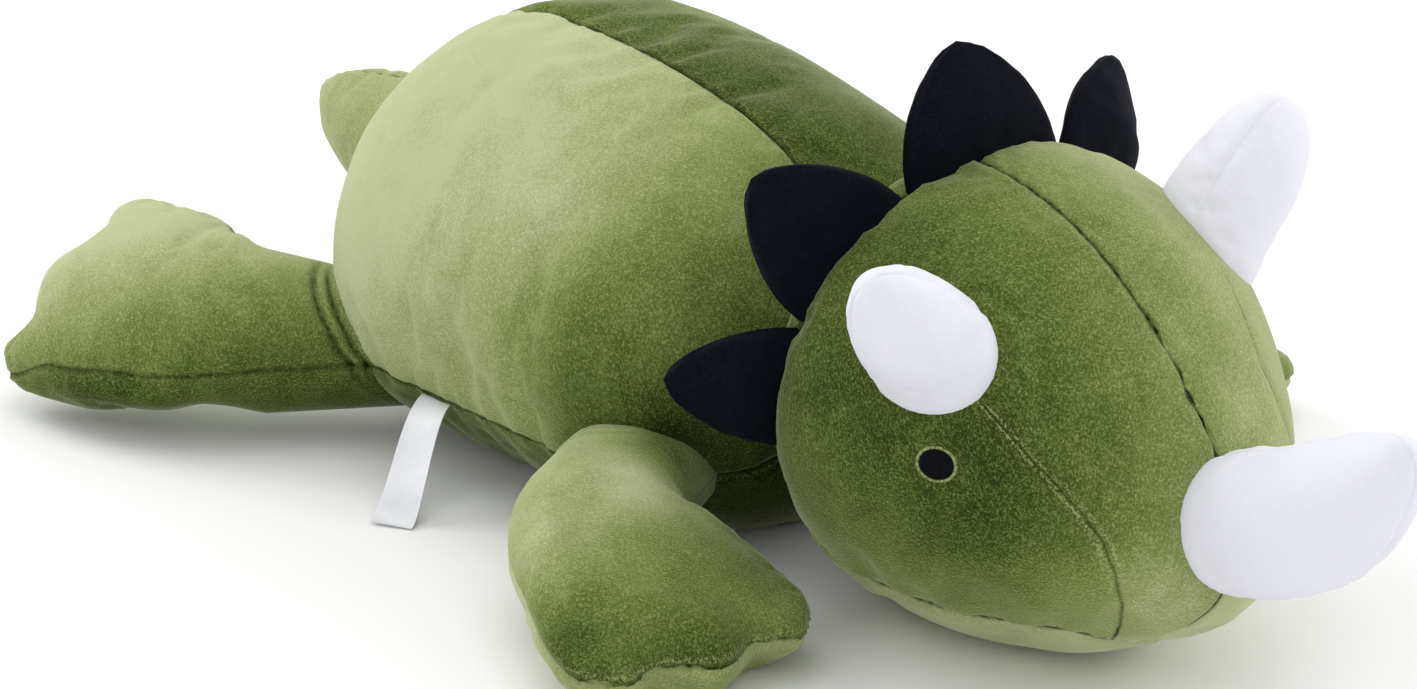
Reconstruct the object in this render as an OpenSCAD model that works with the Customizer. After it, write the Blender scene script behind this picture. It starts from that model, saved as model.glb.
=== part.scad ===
// Stuffed dinosaur: a lying plush dinosaur with three horns, five frill spikes and four flippers.
// Units are millimetres. The head points to +X, the dinosaur's left is +Y and the floor is at Z = 0.
// The origin is the middle of the flat of the belly. Every cover is a sewn panel over its own stuffing.

/* [Fabric] */
// Thickness of the plush fabric with its pile
fabric = 2; // [1.2:0.1:3.5]
// Clearance between a sewn-on piece and what it is sewn to
gap = 0.5; // [0.4:0.1:1]
// Half of the thickness left at a seam's edge
seam_edge = 0.4; // [0.2:0.1:0.8]

/* [Body] */
// Distance from the origin back to the rump
body_rear = 183; // [160:1:210]
// Distance from the origin forward to the neck seam
body_front = 118; // [105:1:130]
// Width of the body
body_width = 244; // [210:1:280]
// Height of the back at its highest
body_height = 198; // [170:1:225]
// How far the back line falls from its top to the neck
shoulder_drop = 57; // [30:1:80]
// Height of the body's widest line
body_mid = 71; // [60:1:85]
// How far the round belly would sink below the floor before it is flattened
belly_dip = 5; // [3:0.5:12]
// Length of the rounded rump
rump_length = 106; // [80:1:135]
// Length over which the shoulders round in to the neck
shoulder_length = 95; // [75:1:110]
// Part of the body's width that is left at the neck seam
neck_share = 0.5; // [0.42:0.01:0.6]
// How far the body's widest line rises towards the neck
neck_rise = 13; // [5:1:18]
// Angle from the top of the back round to the belly seam
belly_seam = 112; // [100:1:125]

/* [Neck] */
// Distance from the neck seam of the body to the middle of the neck
neck_rear = 11; // [10:0.5:16]
// Distance from the middle of the neck to the neck seam of the head
neck_front = 11; // [10:0.5:16]
// Radius of the neck's collars
neck_radius = 27; // [20:0.5:28]
// Radius of the ball of stuffing in the neck
neck_ball_radius = 9; // [6:0.5:9]
// Slope of the collars' faces, which leaves room for the head to turn
collar_slope = 0.22; // [0.18:0.01:0.3]

/* [Head] */
// Sideways turn of the head at rest, to its own left
head_turn = -5; // [-8:0.5:8]
// Sideways tilt of the head at rest, to its own right
head_tilt = 8; // [-10:0.5:10]
// Distance from the middle of the neck forward to the middle of the head
head_reach = 68; // [62:1:71]
// Height of the middle of the head above the middle of the neck
head_rise = 13; // [8:1:18]
// Length of the head in front of its middle, without the snout
head_front = 119; // [105:1:135]
// Length of the head behind its middle
head_back = 64; // [61:1:70]
// Width of the head
head_width = 206; // [180:1:225]
// Height of the head above its middle
head_top = 99; // [88:1:110]
// Depth of the head below its middle
head_bottom = 100; // [92:1:112]
// How far the snout stands out
snout = 35; // [20:1:45]
// Angle by which the snout points down
snout_drop = 21; // [10:1:30]
// Angle from the nose back to the frill seam at the sides
frill_angle = 110; // [106:1:114]
// How far the frill seam comes forward at the top, as an angle
frill_forward = 17; // [8:1:20]
// Angle from the top of the head round to the chin seam
chin_seam = 140; // [128:1:150]

/* [Eyes] */
// Angle from the nose back to the eye
eye_back = 57; // [48:1:62]
// Angle from the top of the head round to the eye
eye_round = 78; // [70:1:90]
// Length of the eye
eye_length = 15; // [10:0.5:20]
// Height of the eye
eye_height = 12.5; // [8:0.5:18]
// Thickness of the eye's embroidery
eye_thickness = 1; // [0.6:0.1:2]

/* [Horns] */
// Angle from the nose back to a brow horn
brow_back = 64; // [57:1:68]
// Angle from the top of the head round to a brow horn
brow_round = 51; // [44:1:56]
// Radius of a brow horn at its base
brow_radius = 25; // [22:0.5:32]
// Length of the right brow horn
brow_length_right = 57; // [50:1:80]
// Length of the left brow horn
brow_length_left = 67; // [50:1:80]
// Angle by which a brow horn leans up from straight out
brow_lift = 50; // [40:1:62]
// Angle below straight ahead at which the nose horn starts
nose_low = 4.5; // [0:0.5:6]
// Radius of the nose horn at its base
nose_radius = 26; // [22:0.5:32]
// Length of the nose horn
nose_length = 112; // [85:1:125]
// Angle by which the nose horn points up
nose_lift = 33; // [20:1:40]
// How far the nose horn sags below a straight line
nose_sag = 6; // [0:0.5:16]
// Share by which the nose horn is fuller half way up
nose_bulge = 0.15; // [0:0.01:0.2]

/* [Frill spikes] */
// Angle by which the row of spikes is sewn off the middle
spike_shift = 4; // [0:1:6]
// Angle along the frill seam between the middle spike and the next
spike_step_inner = 43; // [42:1:46]
// Angle along the frill seam between the next spike and the outer one
spike_step_outer = 36; // [35:1:40]
// Angle along the frill seam that the middle spike takes
spike_arc_top = 46; // [36:1:46]
// Angle along the frill seam that the spike next to it takes
spike_arc_inner = 38; // [30:1:38]
// Angle along the frill seam that an outer spike takes
spike_arc_outer = 32; // [26:1:32]
// Length of the middle spike and the right ones
spike_length = 48; // [40:1:60]
// Length of the left spikes
spike_length_left = 58; // [40:1:65]
// Half thickness of a spike
spike_thick = 10; // [7:0.5:13]
// Angle by which the middle spike leans back
spike_lean_top = 13; // [5:1:25]
// Angle by which a side spike leans back
spike_lean_side = 32; // [22:1:40]
// Angle by which the middle spike sways to the left
spike_sway_top = -7; // [-10:1:10]
// Angle by which the upper right spike sways to the left
spike_sway_right = 5; // [-10:1:10]

/* [Front feet] */
// Distance from the origin forward to a front foot's seam
front_foot_x = 78; // [72:1:82]
// Angle from the top of the back round to a front foot's seam
front_foot_round = 107; // [103:1:112]
// Angle of the right front foot's heading, outward from straight ahead
front_right_out = 8; // [-2:1:20]
// Angle of the left front foot's heading, outward from straight ahead
front_left_out = 106; // [80:1:115]
// Length of a front foot
front_foot_length = 129; // [115:1:145]
// Half width of a front foot at its toes
front_foot_width = 55; // [46:1:60]
// How far a front foot slopes down to its toes
front_foot_drop = 25; // [18:1:30]
// Share of its length at which a front foot has its full width
front_foot_flare = 0.75; // [0.65:0.01:0.9]

/* [Hind feet] */
// Distance from the origin back to a hind foot's seam
hind_foot_x = 140; // [130:1:150]
// Angle from the top of the back round to a hind foot's seam
hind_foot_round = 101; // [97:0.5:106]
// Angle of a hind foot's heading, outward from straight back
hind_foot_out = 11; // [5:1:25]
// Length of a hind foot
hind_foot_length = 148; // [130:1:165]
// Half width of a hind foot at its toes
hind_foot_width = 56; // [48:1:62]
// Angle by which a hind foot is rolled, with its inner edge up
hind_foot_roll = 39; // [28:1:44]
// Share of a hind foot's length that its inner toe stands back
hind_foot_slant = 0.08; // [0:0.01:0.15]
// Share of its length at which a hind foot has its full width
hind_foot_flare = 0.55; // [0.5:0.01:0.9]

/* [Feet] */
// Radius of a foot's rounded end at its seam
foot_knuckle = 26; // [20:0.5:28]
// Half width of a foot at its seam
foot_neck = 34; // [29:0.5:38]
// Half thickness of a foot at its fullest
foot_thick = 29; // [24:0.5:32]
// Share of a foot's length that is cut in between two toes
toe_notch = 0.07; // [0.02:0.01:0.12]
// Share of a foot's length by which the corners of its side toes are rounded
toe_round = 0.07; // [0.02:0.01:0.12]

/* [Tail] */
// Height of the middle of the tail's base
tail_height = 97; // [90:1:110]
// Length of the tail
tail_length = 125; // [100:1:150]
// Radius of the tail at its base
tail_radius = 38; // [34:1:46]
// How far the tip of the tail is above the base
tail_rise = 13; // [0:1:25]
// Slope of the tail's base, which leaves room for the tail to wag
tail_base_slope = 0.32; // [0.3:0.01:0.45]

/* [Label] */
// Distance from the origin back to the label
label_x = 56; // [30:1:80]
// Width of the label
label_width = 20.5; // [14:0.5:28]
// Distance from the seam out to the label's end
label_reach = 56; // [40:1:62]
// Angle by which the label leans forward
label_lean = 31; // [0:1:35]
// Thickness of the folded ribbon
label_thickness = 0.8; // [0.6:0.1:1.2]

/* [Hidden] */
green = [0.36, 0.43, 0.2];
dark_green = [0.27, 0.33, 0.15];
navy = [0.03, 0.04, 0.08];
white = [0.9, 0.9, 0.92];
satin = [0.86, 0.87, 0.9];
black = [0.02, 0.02, 0.02];
filling = [0.93, 0.92, 0.88];

// Roundness of the body's ends, of its sections and of the feet's edges
end_power = 2.5;
section_power = 0.92;
edge_power = 2.4;
// Share of a spike's thickness that is left at its seam
spike_seam = 0.12;
// Spread of the snout
snout_spread = 0.2;
// Share of a horn's and the tail's length at which its tip is closed
tip_share = 0.985;
// Smallest angle at a pole, where the panels meet
pole = 0.6;

// Steps of the surface grids
rump_steps = 9;
waist_steps = 7;
shoulder_steps = 5;
side_steps = 12;
belly_steps = 10;
face_steps = 12;
cheek_steps = 10;
chin_steps = 8;
nape_steps = 4;
eye_steps = 6;
cone_steps = 8;
half_turn_steps = 8;
spike_across = 8;
spike_along = 7;
knuckle_steps = 5;
foot_along = 10;
foot_across = 10;
label_steps = 8;

rump_start = rump_length - body_rear;
shoulder_end = acos(pow(neck_share, end_power / 2));
shoulder_start = body_front - shoulder_length * pow(sin(shoulder_end), 2 / end_power);
back_top = -body_rear / 2;
neck = [body_front + neck_rear, 0, body_mid + neck_rise];

// Small maths
function unit(v) = v / norm(v);
function spow(c, e) = sign(c) * pow(abs(c), e);
function smooth(t) = let (k = min(1, max(0, t))) k * k * (3 - 2 * k);
function mix(a, b, t) = a + (b - a) * t;
function total(v) = v * [for (x = v) 1];
function steps(a, b, n) = [for (i = [0:n]) a + (b - a) * i / n];
function flat(g) = [for (r = g) each r];
function mirrored(g) = [for (r = g) [for (p = r) [p.x, -p.y, p.z]]];

// Closed solids from grids of points
function signed_volume(p, f) = total([for (t = f) cross(p[t[0]], p[t[1]]) * p[t[2]]]);
function quad(a, b, c, d) = [[a, b, c], [a, c, d]];

module closed(points, faces) {
    inside_out = signed_volume(points, faces) > 0;
    polyhedron(points, inside_out ? [for (f = faces) [f[2], f[1], f[0]]] : faces, convexity = 10);
}

// The solid between two equal grids, walled round its four edges
module slab(a, b) {
    m = len(a);
    n = len(a[0]);
    o = m * n;
    closed(concat(flat(a), flat(b)), concat(
        [for (i = [0:m - 2], j = [0:n - 2]) let (p = i * n + j) each quad(p, p + 1, p + n + 1, p + n)],
        [for (i = [0:m - 2], j = [0:n - 2]) let (p = o + i * n + j) each quad(p + n + 1, p + 1, p, p + n)],
        [for (i = [0:m - 2]) let (p = i * n) each quad(p + n, p + n + o, p + o, p)],
        [for (i = [0:m - 2]) let (p = i * n + n - 1) each quad(p, p + o, p + n + o, p + n)],
        [for (j = [0:n - 2]) each quad(j, j + o, j + 1 + o, j + 1)],
        [for (j = [0:n - 2]) let (p = o - n + j) each quad(p + 1, p + 1 + o, p + o, p)]
    ));
}

// The solid inside a row of closed rings, with a middle point for each end
module barrel(rings, first, last) {
    m = len(rings);
    n = len(rings[0]);
    closed(concat(flat(rings), [first, last]), concat(
        [for (i = [0:m - 2], j = [0:n - 1]) let (p = i * n + j, q = i * n + (j + 1) % n)
            each quad(p, q, q + n, p + n)],
        [for (j = [0:n - 1]) [(j + 1) % n, j, m * n]],
        [for (j = [0:n - 1]) let (o = (m - 1) * n) [o + j, o + (j + 1) % n, m * n + 1]]
    ));
}

// Body: fullness along X, line of the back, and a point on the skin or inside it
function cap(t) = pow(1 - pow(min(1, max(0, t)), end_power), 1 / end_power);
function fullness(x) = x < rump_start ? cap((rump_start - x) / rump_length)
    : x > shoulder_start ? cap((x - shoulder_start) / shoulder_length) : 1;
function back_line(x) =
    body_height - shoulder_drop * pow((x - back_top) / (body_front - back_top), 2);
function middle_line(x) =
    body_mid + neck_rise * smooth((x - shoulder_start) / (body_front - shoulder_start));
function body_point(row, angle, inset) = let (
    x = row[0] + inset * row[2],
    mid = middle_line(x),
    c = spow(cos(angle), section_power),
    high = (back_line(x) - mid - inset) * row[1],
    low = (mid + belly_dip - inset) * row[1]
) [
    x,
    (body_width / 2 - inset) * row[1] * spow(sin(angle), section_power),
    max(inset, mid + (c > 0 ? high : low) * c)
];
function body_at(x, angle) = body_point([x, fullness(x), 0], angle, 0);
function body_normal(x, angle) = unit(cross(
    body_at(x + gap, angle) - body_at(x - gap, angle),
    body_at(x, angle + gap) - body_at(x, angle - gap)
));
body_rows = concat(
    [for (a = steps(90 - pole / 10, 0, rump_steps)) let (s = pow(sin(a), 2 / end_power))
        [rump_start - rump_length * s, pow(cos(a), 2 / end_power), s]],
    [for (i = [1:waist_steps]) [mix(rump_start, shoulder_start, i / waist_steps), 1, 0]],
    [for (i = [1:shoulder_steps]) let (a = shoulder_end * i / shoulder_steps)
        [shoulder_start + shoulder_length * pow(sin(a), 2 / end_power), pow(cos(a), 2 / end_power), 0]]
);
function body_grid(angles, inset) =
    [for (r = body_rows) [for (a = angles) body_point(r, a, inset)]];
body_right_angles = steps(-belly_seam, 0, side_steps);
body_left_angles = steps(0, belly_seam, side_steps);
body_belly_angles = steps(belly_seam, 360 - belly_seam, belly_steps);
function open_ring(a) = [for (i = [0:len(a) - 2]) a[i]];

module body_panel(angles) {
    slab(body_grid(angles, 0), body_grid(angles, fabric));
}

module body_right_panel() {
    color(green) body_panel(body_right_angles);
}

module body_left_panel() {
    color(green) body_panel(body_left_angles);
}

module body_belly_panel() {
    color(dark_green) body_panel(body_belly_angles);
}

module body_stuffing() {
    angles = concat(open_ring(body_right_angles), open_ring(body_left_angles),
        open_ring(body_belly_angles));
    rings = body_grid(angles, fabric);
    color(filling) barrel(rings, [rings[0][0].x, 0, body_mid], [body_front, 0, neck.z]);
}

// Head frame: from points about the middle of the head to the part's frame, kept above the floor
function head_vector(p) = let (
    y = p.y * cos(head_tilt) - p.z * sin(head_tilt),
    z = p.y * sin(head_tilt) + p.z * cos(head_tilt)
) [p.x * cos(head_turn) - y * sin(head_turn), p.x * sin(head_turn) + y * cos(head_turn), z];
function head_place(p, floor) = let (q = neck + head_vector(p + [head_reach, 0, head_rise]))
    [q.x, q.y, max(floor, q.z)];
module head_frame() {
    translate(neck) rotate([0, 0, head_turn]) rotate([head_tilt, 0, 0]) children();
}

// Neck: two collars round a ball of stuffing, with room between them for the head to turn and nod
module collar(length) {
    inner = neck_ball_radius + gap;
    mouth = collar_slope * inner + gap;
    rotate([0, -90, 0]) rotate_extrude() difference() {
        polygon([[0, mouth], [inner, mouth], [neck_radius, collar_slope * neck_radius + gap],
            [neck_radius, length], [0, length]]);
        circle(inner);
    }
}

module neck_body_collar() {
    color(dark_green) translate(neck) collar(neck_rear);
}

module neck_ball() {
    color(filling) translate(neck) sphere(neck_ball_radius);
}

module neck_head_collar() {
    color(dark_green) head_frame() rotate([0, 0, 180]) collar(neck_front);
}

// Head: a point in a direction from its middle, offset outward or inward
function head_local(d, offset) = let (
    side = d.x > 0 ? head_front + offset : head_back,
    up = (d.z > 0 ? head_top : head_bottom) + offset,
    tip = [cos(snout_drop), 0, -sin(snout_drop)],
    bulge = d.x > 0 ? snout * exp((d * tip - 1) / snout_spread) : 0
) [d.x * side, d.y * (head_width / 2 + offset), d.z * up] + bulge * tip;
function direction(back, round) = [cos(back), sin(back) * sin(round), sin(back) * cos(round)];
function head_at(back, round, offset) =
    head_place(head_local(direction(back, round), offset), max(0, -offset));
nape = acos(-(head_reach - neck_front) / head_back);
function frill_back(round) = frill_angle - frill_forward * pow(max(0, cos(round)), 2);
// Rows run from 0 at the nose to 1 at the frill seam and 2 at the neck
face_rows = steps(0, 1, face_steps);
nape_rows = steps(1, 2, nape_steps);
function row_back(row, round) = row < 1 ? mix(pole, frill_back(round), row)
    : mix(frill_back(round), nape, row - 1);
right_rounds = steps(-chin_seam, 0, cheek_steps);
left_rounds = steps(0, chin_seam, cheek_steps);
chin_rounds = steps(chin_seam, 360 - chin_seam, chin_steps);
back_right_rounds = concat(open_ring(steps(-180, -chin_seam, chin_steps / 2)), right_rounds);
back_left_rounds = concat(open_ring(left_rounds), steps(chin_seam, 180, chin_steps / 2));
function head_grid(rows, rounds, offset) = 
    [for (w = rows) [for (r = rounds) head_at(row_back(w, r), r, offset)]];

module head_panel(rows, rounds) {
    slab(head_grid(rows, rounds, 0), head_grid(rows, rounds, -fabric));
}

module head_right_panel() {
    color(green) head_panel(face_rows, right_rounds);
}

module head_left_panel() {
    color(green) head_panel(face_rows, left_rounds);
}

module head_chin_panel() {
    color(dark_green) head_panel(face_rows, chin_rounds);
}

module head_back_right() {
    color(green) head_panel(nape_rows, back_right_rounds);
}

module head_back_left() {
    color(green) head_panel(nape_rows, back_left_rounds);
}

module head_stuffing() {
    rounds = concat(open_ring(right_rounds), open_ring(left_rounds), open_ring(chin_rounds));
    rings = head_grid(concat(open_ring(face_rows), nape_rows), rounds, -fabric);
    color(filling) barrel(rings, head_at(0, 0, -fabric), head_place([neck_front - head_reach, 0, 0], 0));
}

// Eyes: a thin oval of embroidery that follows the cheek
function eye_grid(side, offset) = let (
    d = direction(eye_back, side * eye_round),
    along = unit(cross([0, 0, 1], d)),
    up = cross(d, along)
) [for (s = steps(-1, 1, eye_steps)) [for (t = steps(-1, 1, eye_steps))
    head_place(head_local(unit(d
        + along * (eye_length / head_width) * s * sqrt(1 - t * t / 2)
        + up * (eye_height / head_width) * t * sqrt(1 - s * s / 2)), offset), 0)]];

module eye(side) {
    slab(eye_grid(side, gap / 2 + eye_thickness), eye_grid(side, gap / 2));
}

module eye_right() {
    color(black) eye(-1);
}

module eye_left() {
    color(black) eye(1);
}

// Horns: a base ring on the head, swept to a tip. Each horn is [base direction, tip offset, radius, sag, bulge]
brow = [cos(brow_lift) * sin(brow_back), sin(brow_lift)];
function brow_length(side) = side > 0 ? brow_length_left : brow_length_right;
function brow_horn(side) = [direction(brow_back, side * brow_round),
    brow_length(side) * [0.15, side * brow[0], brow[1]], brow_radius, 0, 0];
nose_horn = [[cos(nose_low), 0, -sin(nose_low)], nose_length * [cos(nose_lift), 0, sin(nose_lift)],
    nose_radius, nose_sag, nose_bulge];
function horn_width(v) = pow(1 - pow(v, 2.6), 0.5);
function horn_point(h, v, turn, inset) = let (
    d = h[0],
    e = unit(cross(d, [0, 1, 0.001])),
    f = cross(d, e),
    spread = (h[2] - inset) * 2 / head_width,
    foot = head_local(d, gap),
    rim = head_local(unit(d + spread * (cos(turn) * e + sin(turn) * f)), gap) - foot,
    axis = unit(h[1]),
    ee = unit(e - axis * (e * axis)),
    ff = cross(axis, ee),
    round = (h[2] - inset) * (cos(turn) * ee + sin(turn) * ff),
    w = v * (tip_share - inset / norm(h[1]))
) foot + h[1] * w + [0, 0, -h[3] * 4 * w * (1 - w)]
    + (1 + h[4] * sin(180 * w)) * horn_width(w) * mix(rim, round, smooth(w * 2));
function horn_grid(h, turns, inset) = [for (v = steps(0, 1, cone_steps)) [for (t = turns)
    head_place(horn_point(h, v, t, inset), 0)]];

module horn_panel(h, start) {
    turns = steps(start, start + 180, half_turn_steps);
    slab(horn_grid(h, turns, 0), horn_grid(h, turns, fabric));
}

module horn_stuffing(h) {
    rings = horn_grid(h, open_ring(steps(0, 360, half_turn_steps * 2)), fabric);
    tip = total_points(rings[cone_steps]);
    color(filling) barrel(rings, head_place(head_local(h[0], gap + 2 * fabric), 0), tip);
}
function total_points(r) = [for (k = [0:2]) total([for (p = r) p[k]]) / len(r)];

module nose_horn_right() {
    color(white) horn_panel(nose_horn, 180);
}

module nose_horn_left() {
    color(white) horn_panel(nose_horn, 0);
}

module nose_horn_stuffing() {
    horn_stuffing(nose_horn);
}

module brow_horn_right_front() {
    color(white) horn_panel(brow_horn(-1), 180);
}

module brow_horn_right_back() {
    color(white) horn_panel(brow_horn(-1), 0);
}

module brow_horn_right_stuffing() {
    horn_stuffing(brow_horn(-1));
}

module brow_horn_left_front() {
    color(white) horn_panel(brow_horn(1), 180);
}

module brow_horn_left_back() {
    color(white) horn_panel(brow_horn(1), 0);
}

module brow_horn_left_stuffing() {
    horn_stuffing(brow_horn(1));
}

// Frill spikes: [middle angle, arc, lean, length, sway]. A grid runs across the seam and out to the tip
spike_outer = spike_step_inner + spike_step_outer;
frill_right_low = [spike_shift - spike_outer, spike_arc_outer, spike_lean_side, spike_length, 0];
frill_right_high =
    [spike_shift - spike_step_inner, spike_arc_inner, spike_lean_side, spike_length, spike_sway_right];
frill_top = [spike_shift, spike_arc_top, spike_lean_top, spike_length, spike_sway_top];
frill_left_high = [spike_shift + spike_step_inner, spike_arc_inner, spike_lean_side, spike_length_left, 0];
frill_left_low = [spike_shift + spike_outer, spike_arc_outer, spike_lean_side, spike_length_left, 0];
function spike_axis(k) = [-sin(k[2]), cos(k[2]) * sin(k[0] + k[4]), cos(k[2]) * cos(k[0] + k[4])];
function spike_normal(k) = unit(cross([0, cos(k[0]), -sin(k[0])], spike_axis(k)));
function spike_width(b) = pow(1 - b * b, 0.72);
function spike_half(a, b) = spike_thick * sqrt(max(0, 1 - a * a)) * sqrt(1 - b * b)
    * mix(spike_seam, 1, smooth(b * 2.5));
function spike_point(k, a, b, side, inset) = let (
    aa = a * (1 - 4 * inset / k[3]),
    bb = mix(inset / k[3], tip_share - inset / k[3], b),
    round = k[0] + aa * spike_width(bb) * k[1] / 2,
    base = head_local(direction(frill_back(round), round), gap),
    half = max(inset > 0 ? seam_edge : 0, spike_half(aa, bb) - inset)
) head_place(base + spike_axis(k) * bb * k[3] + spike_normal(k) * side * half, 0);
function spike_grid(k, side, inset) = [for (a = steps(-1, 1, spike_across))
    [for (b = steps(0, 1, spike_along)) spike_point(k, a, b, side, inset)]];

module spike_panel(k, side) {
    color(navy) slab(spike_grid(k, side, 0), spike_grid(k, side, fabric));
}

module spike_stuffing(k) {
    color(filling) slab(spike_grid(k, 1, fabric), spike_grid(k, -1, fabric));
}

module frill_right_low_front() {
    spike_panel(frill_right_low, 1);
}

module frill_right_low_back() {
    spike_panel(frill_right_low, -1);
}

module frill_right_low_stuffing() {
    spike_stuffing(frill_right_low);
}

module frill_right_high_front() {
    spike_panel(frill_right_high, 1);
}

module frill_right_high_back() {
    spike_panel(frill_right_high, -1);
}

module frill_right_high_stuffing() {
    spike_stuffing(frill_right_high);
}

module frill_top_front() {
    spike_panel(frill_top, 1);
}

module frill_top_back() {
    spike_panel(frill_top, -1);
}

module frill_top_stuffing() {
    spike_stuffing(frill_top);
}

module frill_left_high_front() {
    spike_panel(frill_left_high, 1);
}

module frill_left_high_back() {
    spike_panel(frill_left_high, -1);
}

module frill_left_high_stuffing() {
    spike_stuffing(frill_left_high);
}

module frill_left_low_front() {
    spike_panel(frill_left_low, 1);
}

module frill_left_low_back() {
    spike_panel(frill_left_low, -1);
}

module frill_left_low_stuffing() {
    spike_stuffing(frill_left_low);
}

// Feet on the right side: [seam x, seam angle, heading, length, half width, drop, roll, slant, flare]
function front_foot(out) = [front_foot_x, front_foot_round, -out, front_foot_length,
    front_foot_width, front_foot_drop, 0, 0, front_foot_flare];
front_right = front_foot(front_right_out);
front_left = front_foot(front_left_out);
hind_foot = [-hind_foot_x, hind_foot_round, hind_foot_out - 180, hind_foot_length,
    hind_foot_width, 0, -hind_foot_roll, hind_foot_slant, hind_foot_flare];
function foot_root(f) =
    body_at(f[0], -f[1]) + body_normal(f[0], -f[1]) * (foot_knuckle + gap);
function foot_start(f) = let (n = body_normal(f[0], -f[1])) atan2(n.y, n.x);
bend_share = 0.42;
// Point and heading on a foot's centre line: straight out of the body, round a bend, then straight
function foot_line(f, l) = let (
    a = foot_start(f),
    span = f[2] - a,
    bend = bend_share * f[3],
    t = a + span * min(1, max(0, l / bend)),
    r = bend * 180 / (PI * span),
    past = max(0, l - bend) + min(0, l)
) [r * [sin(t) - sin(a), cos(a) - cos(t)] + past * [cos(t), sin(t)], t];
function foot_point(f, s, t, side, inset) = let (
    knuckle = foot_knuckle - inset,
    x = s < 0 ? -knuckle * cos(90 * (s + 1)) : s * (f[3] - inset),
    u = max(0, x) / f[3],
    tt = t * (1 - inset / foot_neck),
    toe = 0.5 + 0.5 * cos(360 * tt),
    round_off = (toe_notch * (1 - toe) + toe_round * pow(tt, 6)) * smooth((u - 0.6) / 0.4),
    cut = round_off + f[7] * u * (1 - tt) / 2,
    line = foot_line(f, x > 0 ? x * (1 - cut) : x),
    width = mix(foot_neck, f[4], smooth(u / f[8])) * (1 - 0.1 * smooth((u - 0.8) / 0.2)),
    full = mix(foot_knuckle, foot_thick, smooth(u * 2)) * sqrt(1 - pow(u, 5)),
    half = x < 0 ? sqrt(max(0, knuckle * knuckle - x * x)) : full - inset,
    rise = side * max(inset > 0 ? seam_edge : 0, half * sqrt(max(0, 1 - pow(abs(t), edge_power)))),
    roll = f[6] * smooth(u * 3),
    flat_way = tt * width * cos(roll) - rise * sin(roll),
    up_way = tt * width * sin(roll) + rise * cos(roll),
    root = foot_root(f)
) [
    root.x + line[0].x - sin(line[1]) * flat_way,
    root.y + line[0].y + cos(line[1]) * flat_way,
    max(inset, root.z - f[5] * smooth(u / 0.9) + up_way)
];
// Rows run from -1 at the seam to 0 where the rounded end stops and 1 at the toes
foot_rows = concat(steps(-1, 0, knuckle_steps), [for (i = [1:foot_along]) i / foot_along]);
function foot_grid(f, side, inset) = [for (s = foot_rows)
    [for (t = steps(-1, 1, foot_across)) foot_point(f, s, t, side, inset)]];
function on_side(g, left) = left ? mirrored(g) : g;

module foot_panel(f, side, left) {
    color(side > 0 ? green : dark_green)
        slab(on_side(foot_grid(f, side, 0), left), on_side(foot_grid(f, side, fabric), left));
}

module foot_stuffing(f, left) {
    color(filling) slab(on_side(foot_grid(f, 1, fabric), left), on_side(foot_grid(f, -1, fabric), left));
}

module foot_front_right_top() {
    foot_panel(front_right, 1, false);
}

module foot_front_right_sole() {
    foot_panel(front_right, -1, false);
}

module foot_front_right_stuffing() {
    foot_stuffing(front_right, false);
}

module foot_front_left_top() {
    foot_panel(front_left, 1, true);
}

module foot_front_left_sole() {
    foot_panel(front_left, -1, true);
}

module foot_front_left_stuffing() {
    foot_stuffing(front_left, true);
}

module foot_hind_right_top() {
    foot_panel(hind_foot, 1, false);
}

module foot_hind_right_sole() {
    foot_panel(hind_foot, -1, false);
}

module foot_hind_right_stuffing() {
    foot_stuffing(hind_foot, false);
}

module foot_hind_left_top() {
    foot_panel(hind_foot, 1, true);
}

module foot_hind_left_sole() {
    foot_panel(hind_foot, -1, true);
}

module foot_hind_left_stuffing() {
    foot_stuffing(hind_foot, true);
}

// Tail: a cone whose base slopes away from the rump all round
tail_share = (tail_height - body_mid) / (back_line(-body_rear) - body_mid);
tail_root = [rump_start - rump_length * cap(tail_share) - gap, 0, tail_height];
tail_set_back = tail_radius * tail_base_slope;
function tail_point(v, turn, inset) = let (
    w = v * (tip_share - inset / tail_length),
    r = (tail_radius - inset) * pow(1 - pow(w, 1.7), 0.62),
    l = mix(tail_set_back, tail_length, w)
) tail_root + [-l, r * sin(turn), r * cos(turn) + tail_rise * w * w];
function tail_grid(turns, inset) = [for (v = steps(0, 1, cone_steps)) [for (t = turns) tail_point(v, t, inset)]];

module tail_panel(start) {
    turns = steps(start, start + 180, half_turn_steps);
    color(green) slab(tail_grid(turns, 0), tail_grid(turns, fabric));
}

module tail_right() {
    tail_panel(180);
}

module tail_left() {
    tail_panel(0);
}

module tail_stuffing() {
    rings = tail_grid(open_ring(steps(0, 360, half_turn_steps * 2)), fabric);
    color(filling) barrel(rings, tail_root, total_points(rings[cone_steps]));
}

// Care label: a folded ribbon out of the right belly seam, down to the floor
label_root = body_at(-label_x, -belly_seam) + body_normal(-label_x, -belly_seam) * gap;
label_tip = [sin(label_lean), -cos(label_lean)] * label_reach;
function label_point(v, across, side) = [
    label_root.x + label_tip.x * v + across * label_width / 2 * mix(1, cos(label_lean), v),
    label_root.y + label_tip.y * v + across * label_width / 2 * sin(label_lean) * v,
    mix(label_root.z, label_thickness, smooth(v * 0.75 + 0.25 * v * v)) + side * label_thickness / 2
];
function label_grid(side) = [for (v = steps(0, 1, label_steps)) [for (a = [-1, 1]) label_point(v, a, side)]];

module care_label() {
    color(satin) slab(label_grid(1), label_grid(-1));
}

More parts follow.
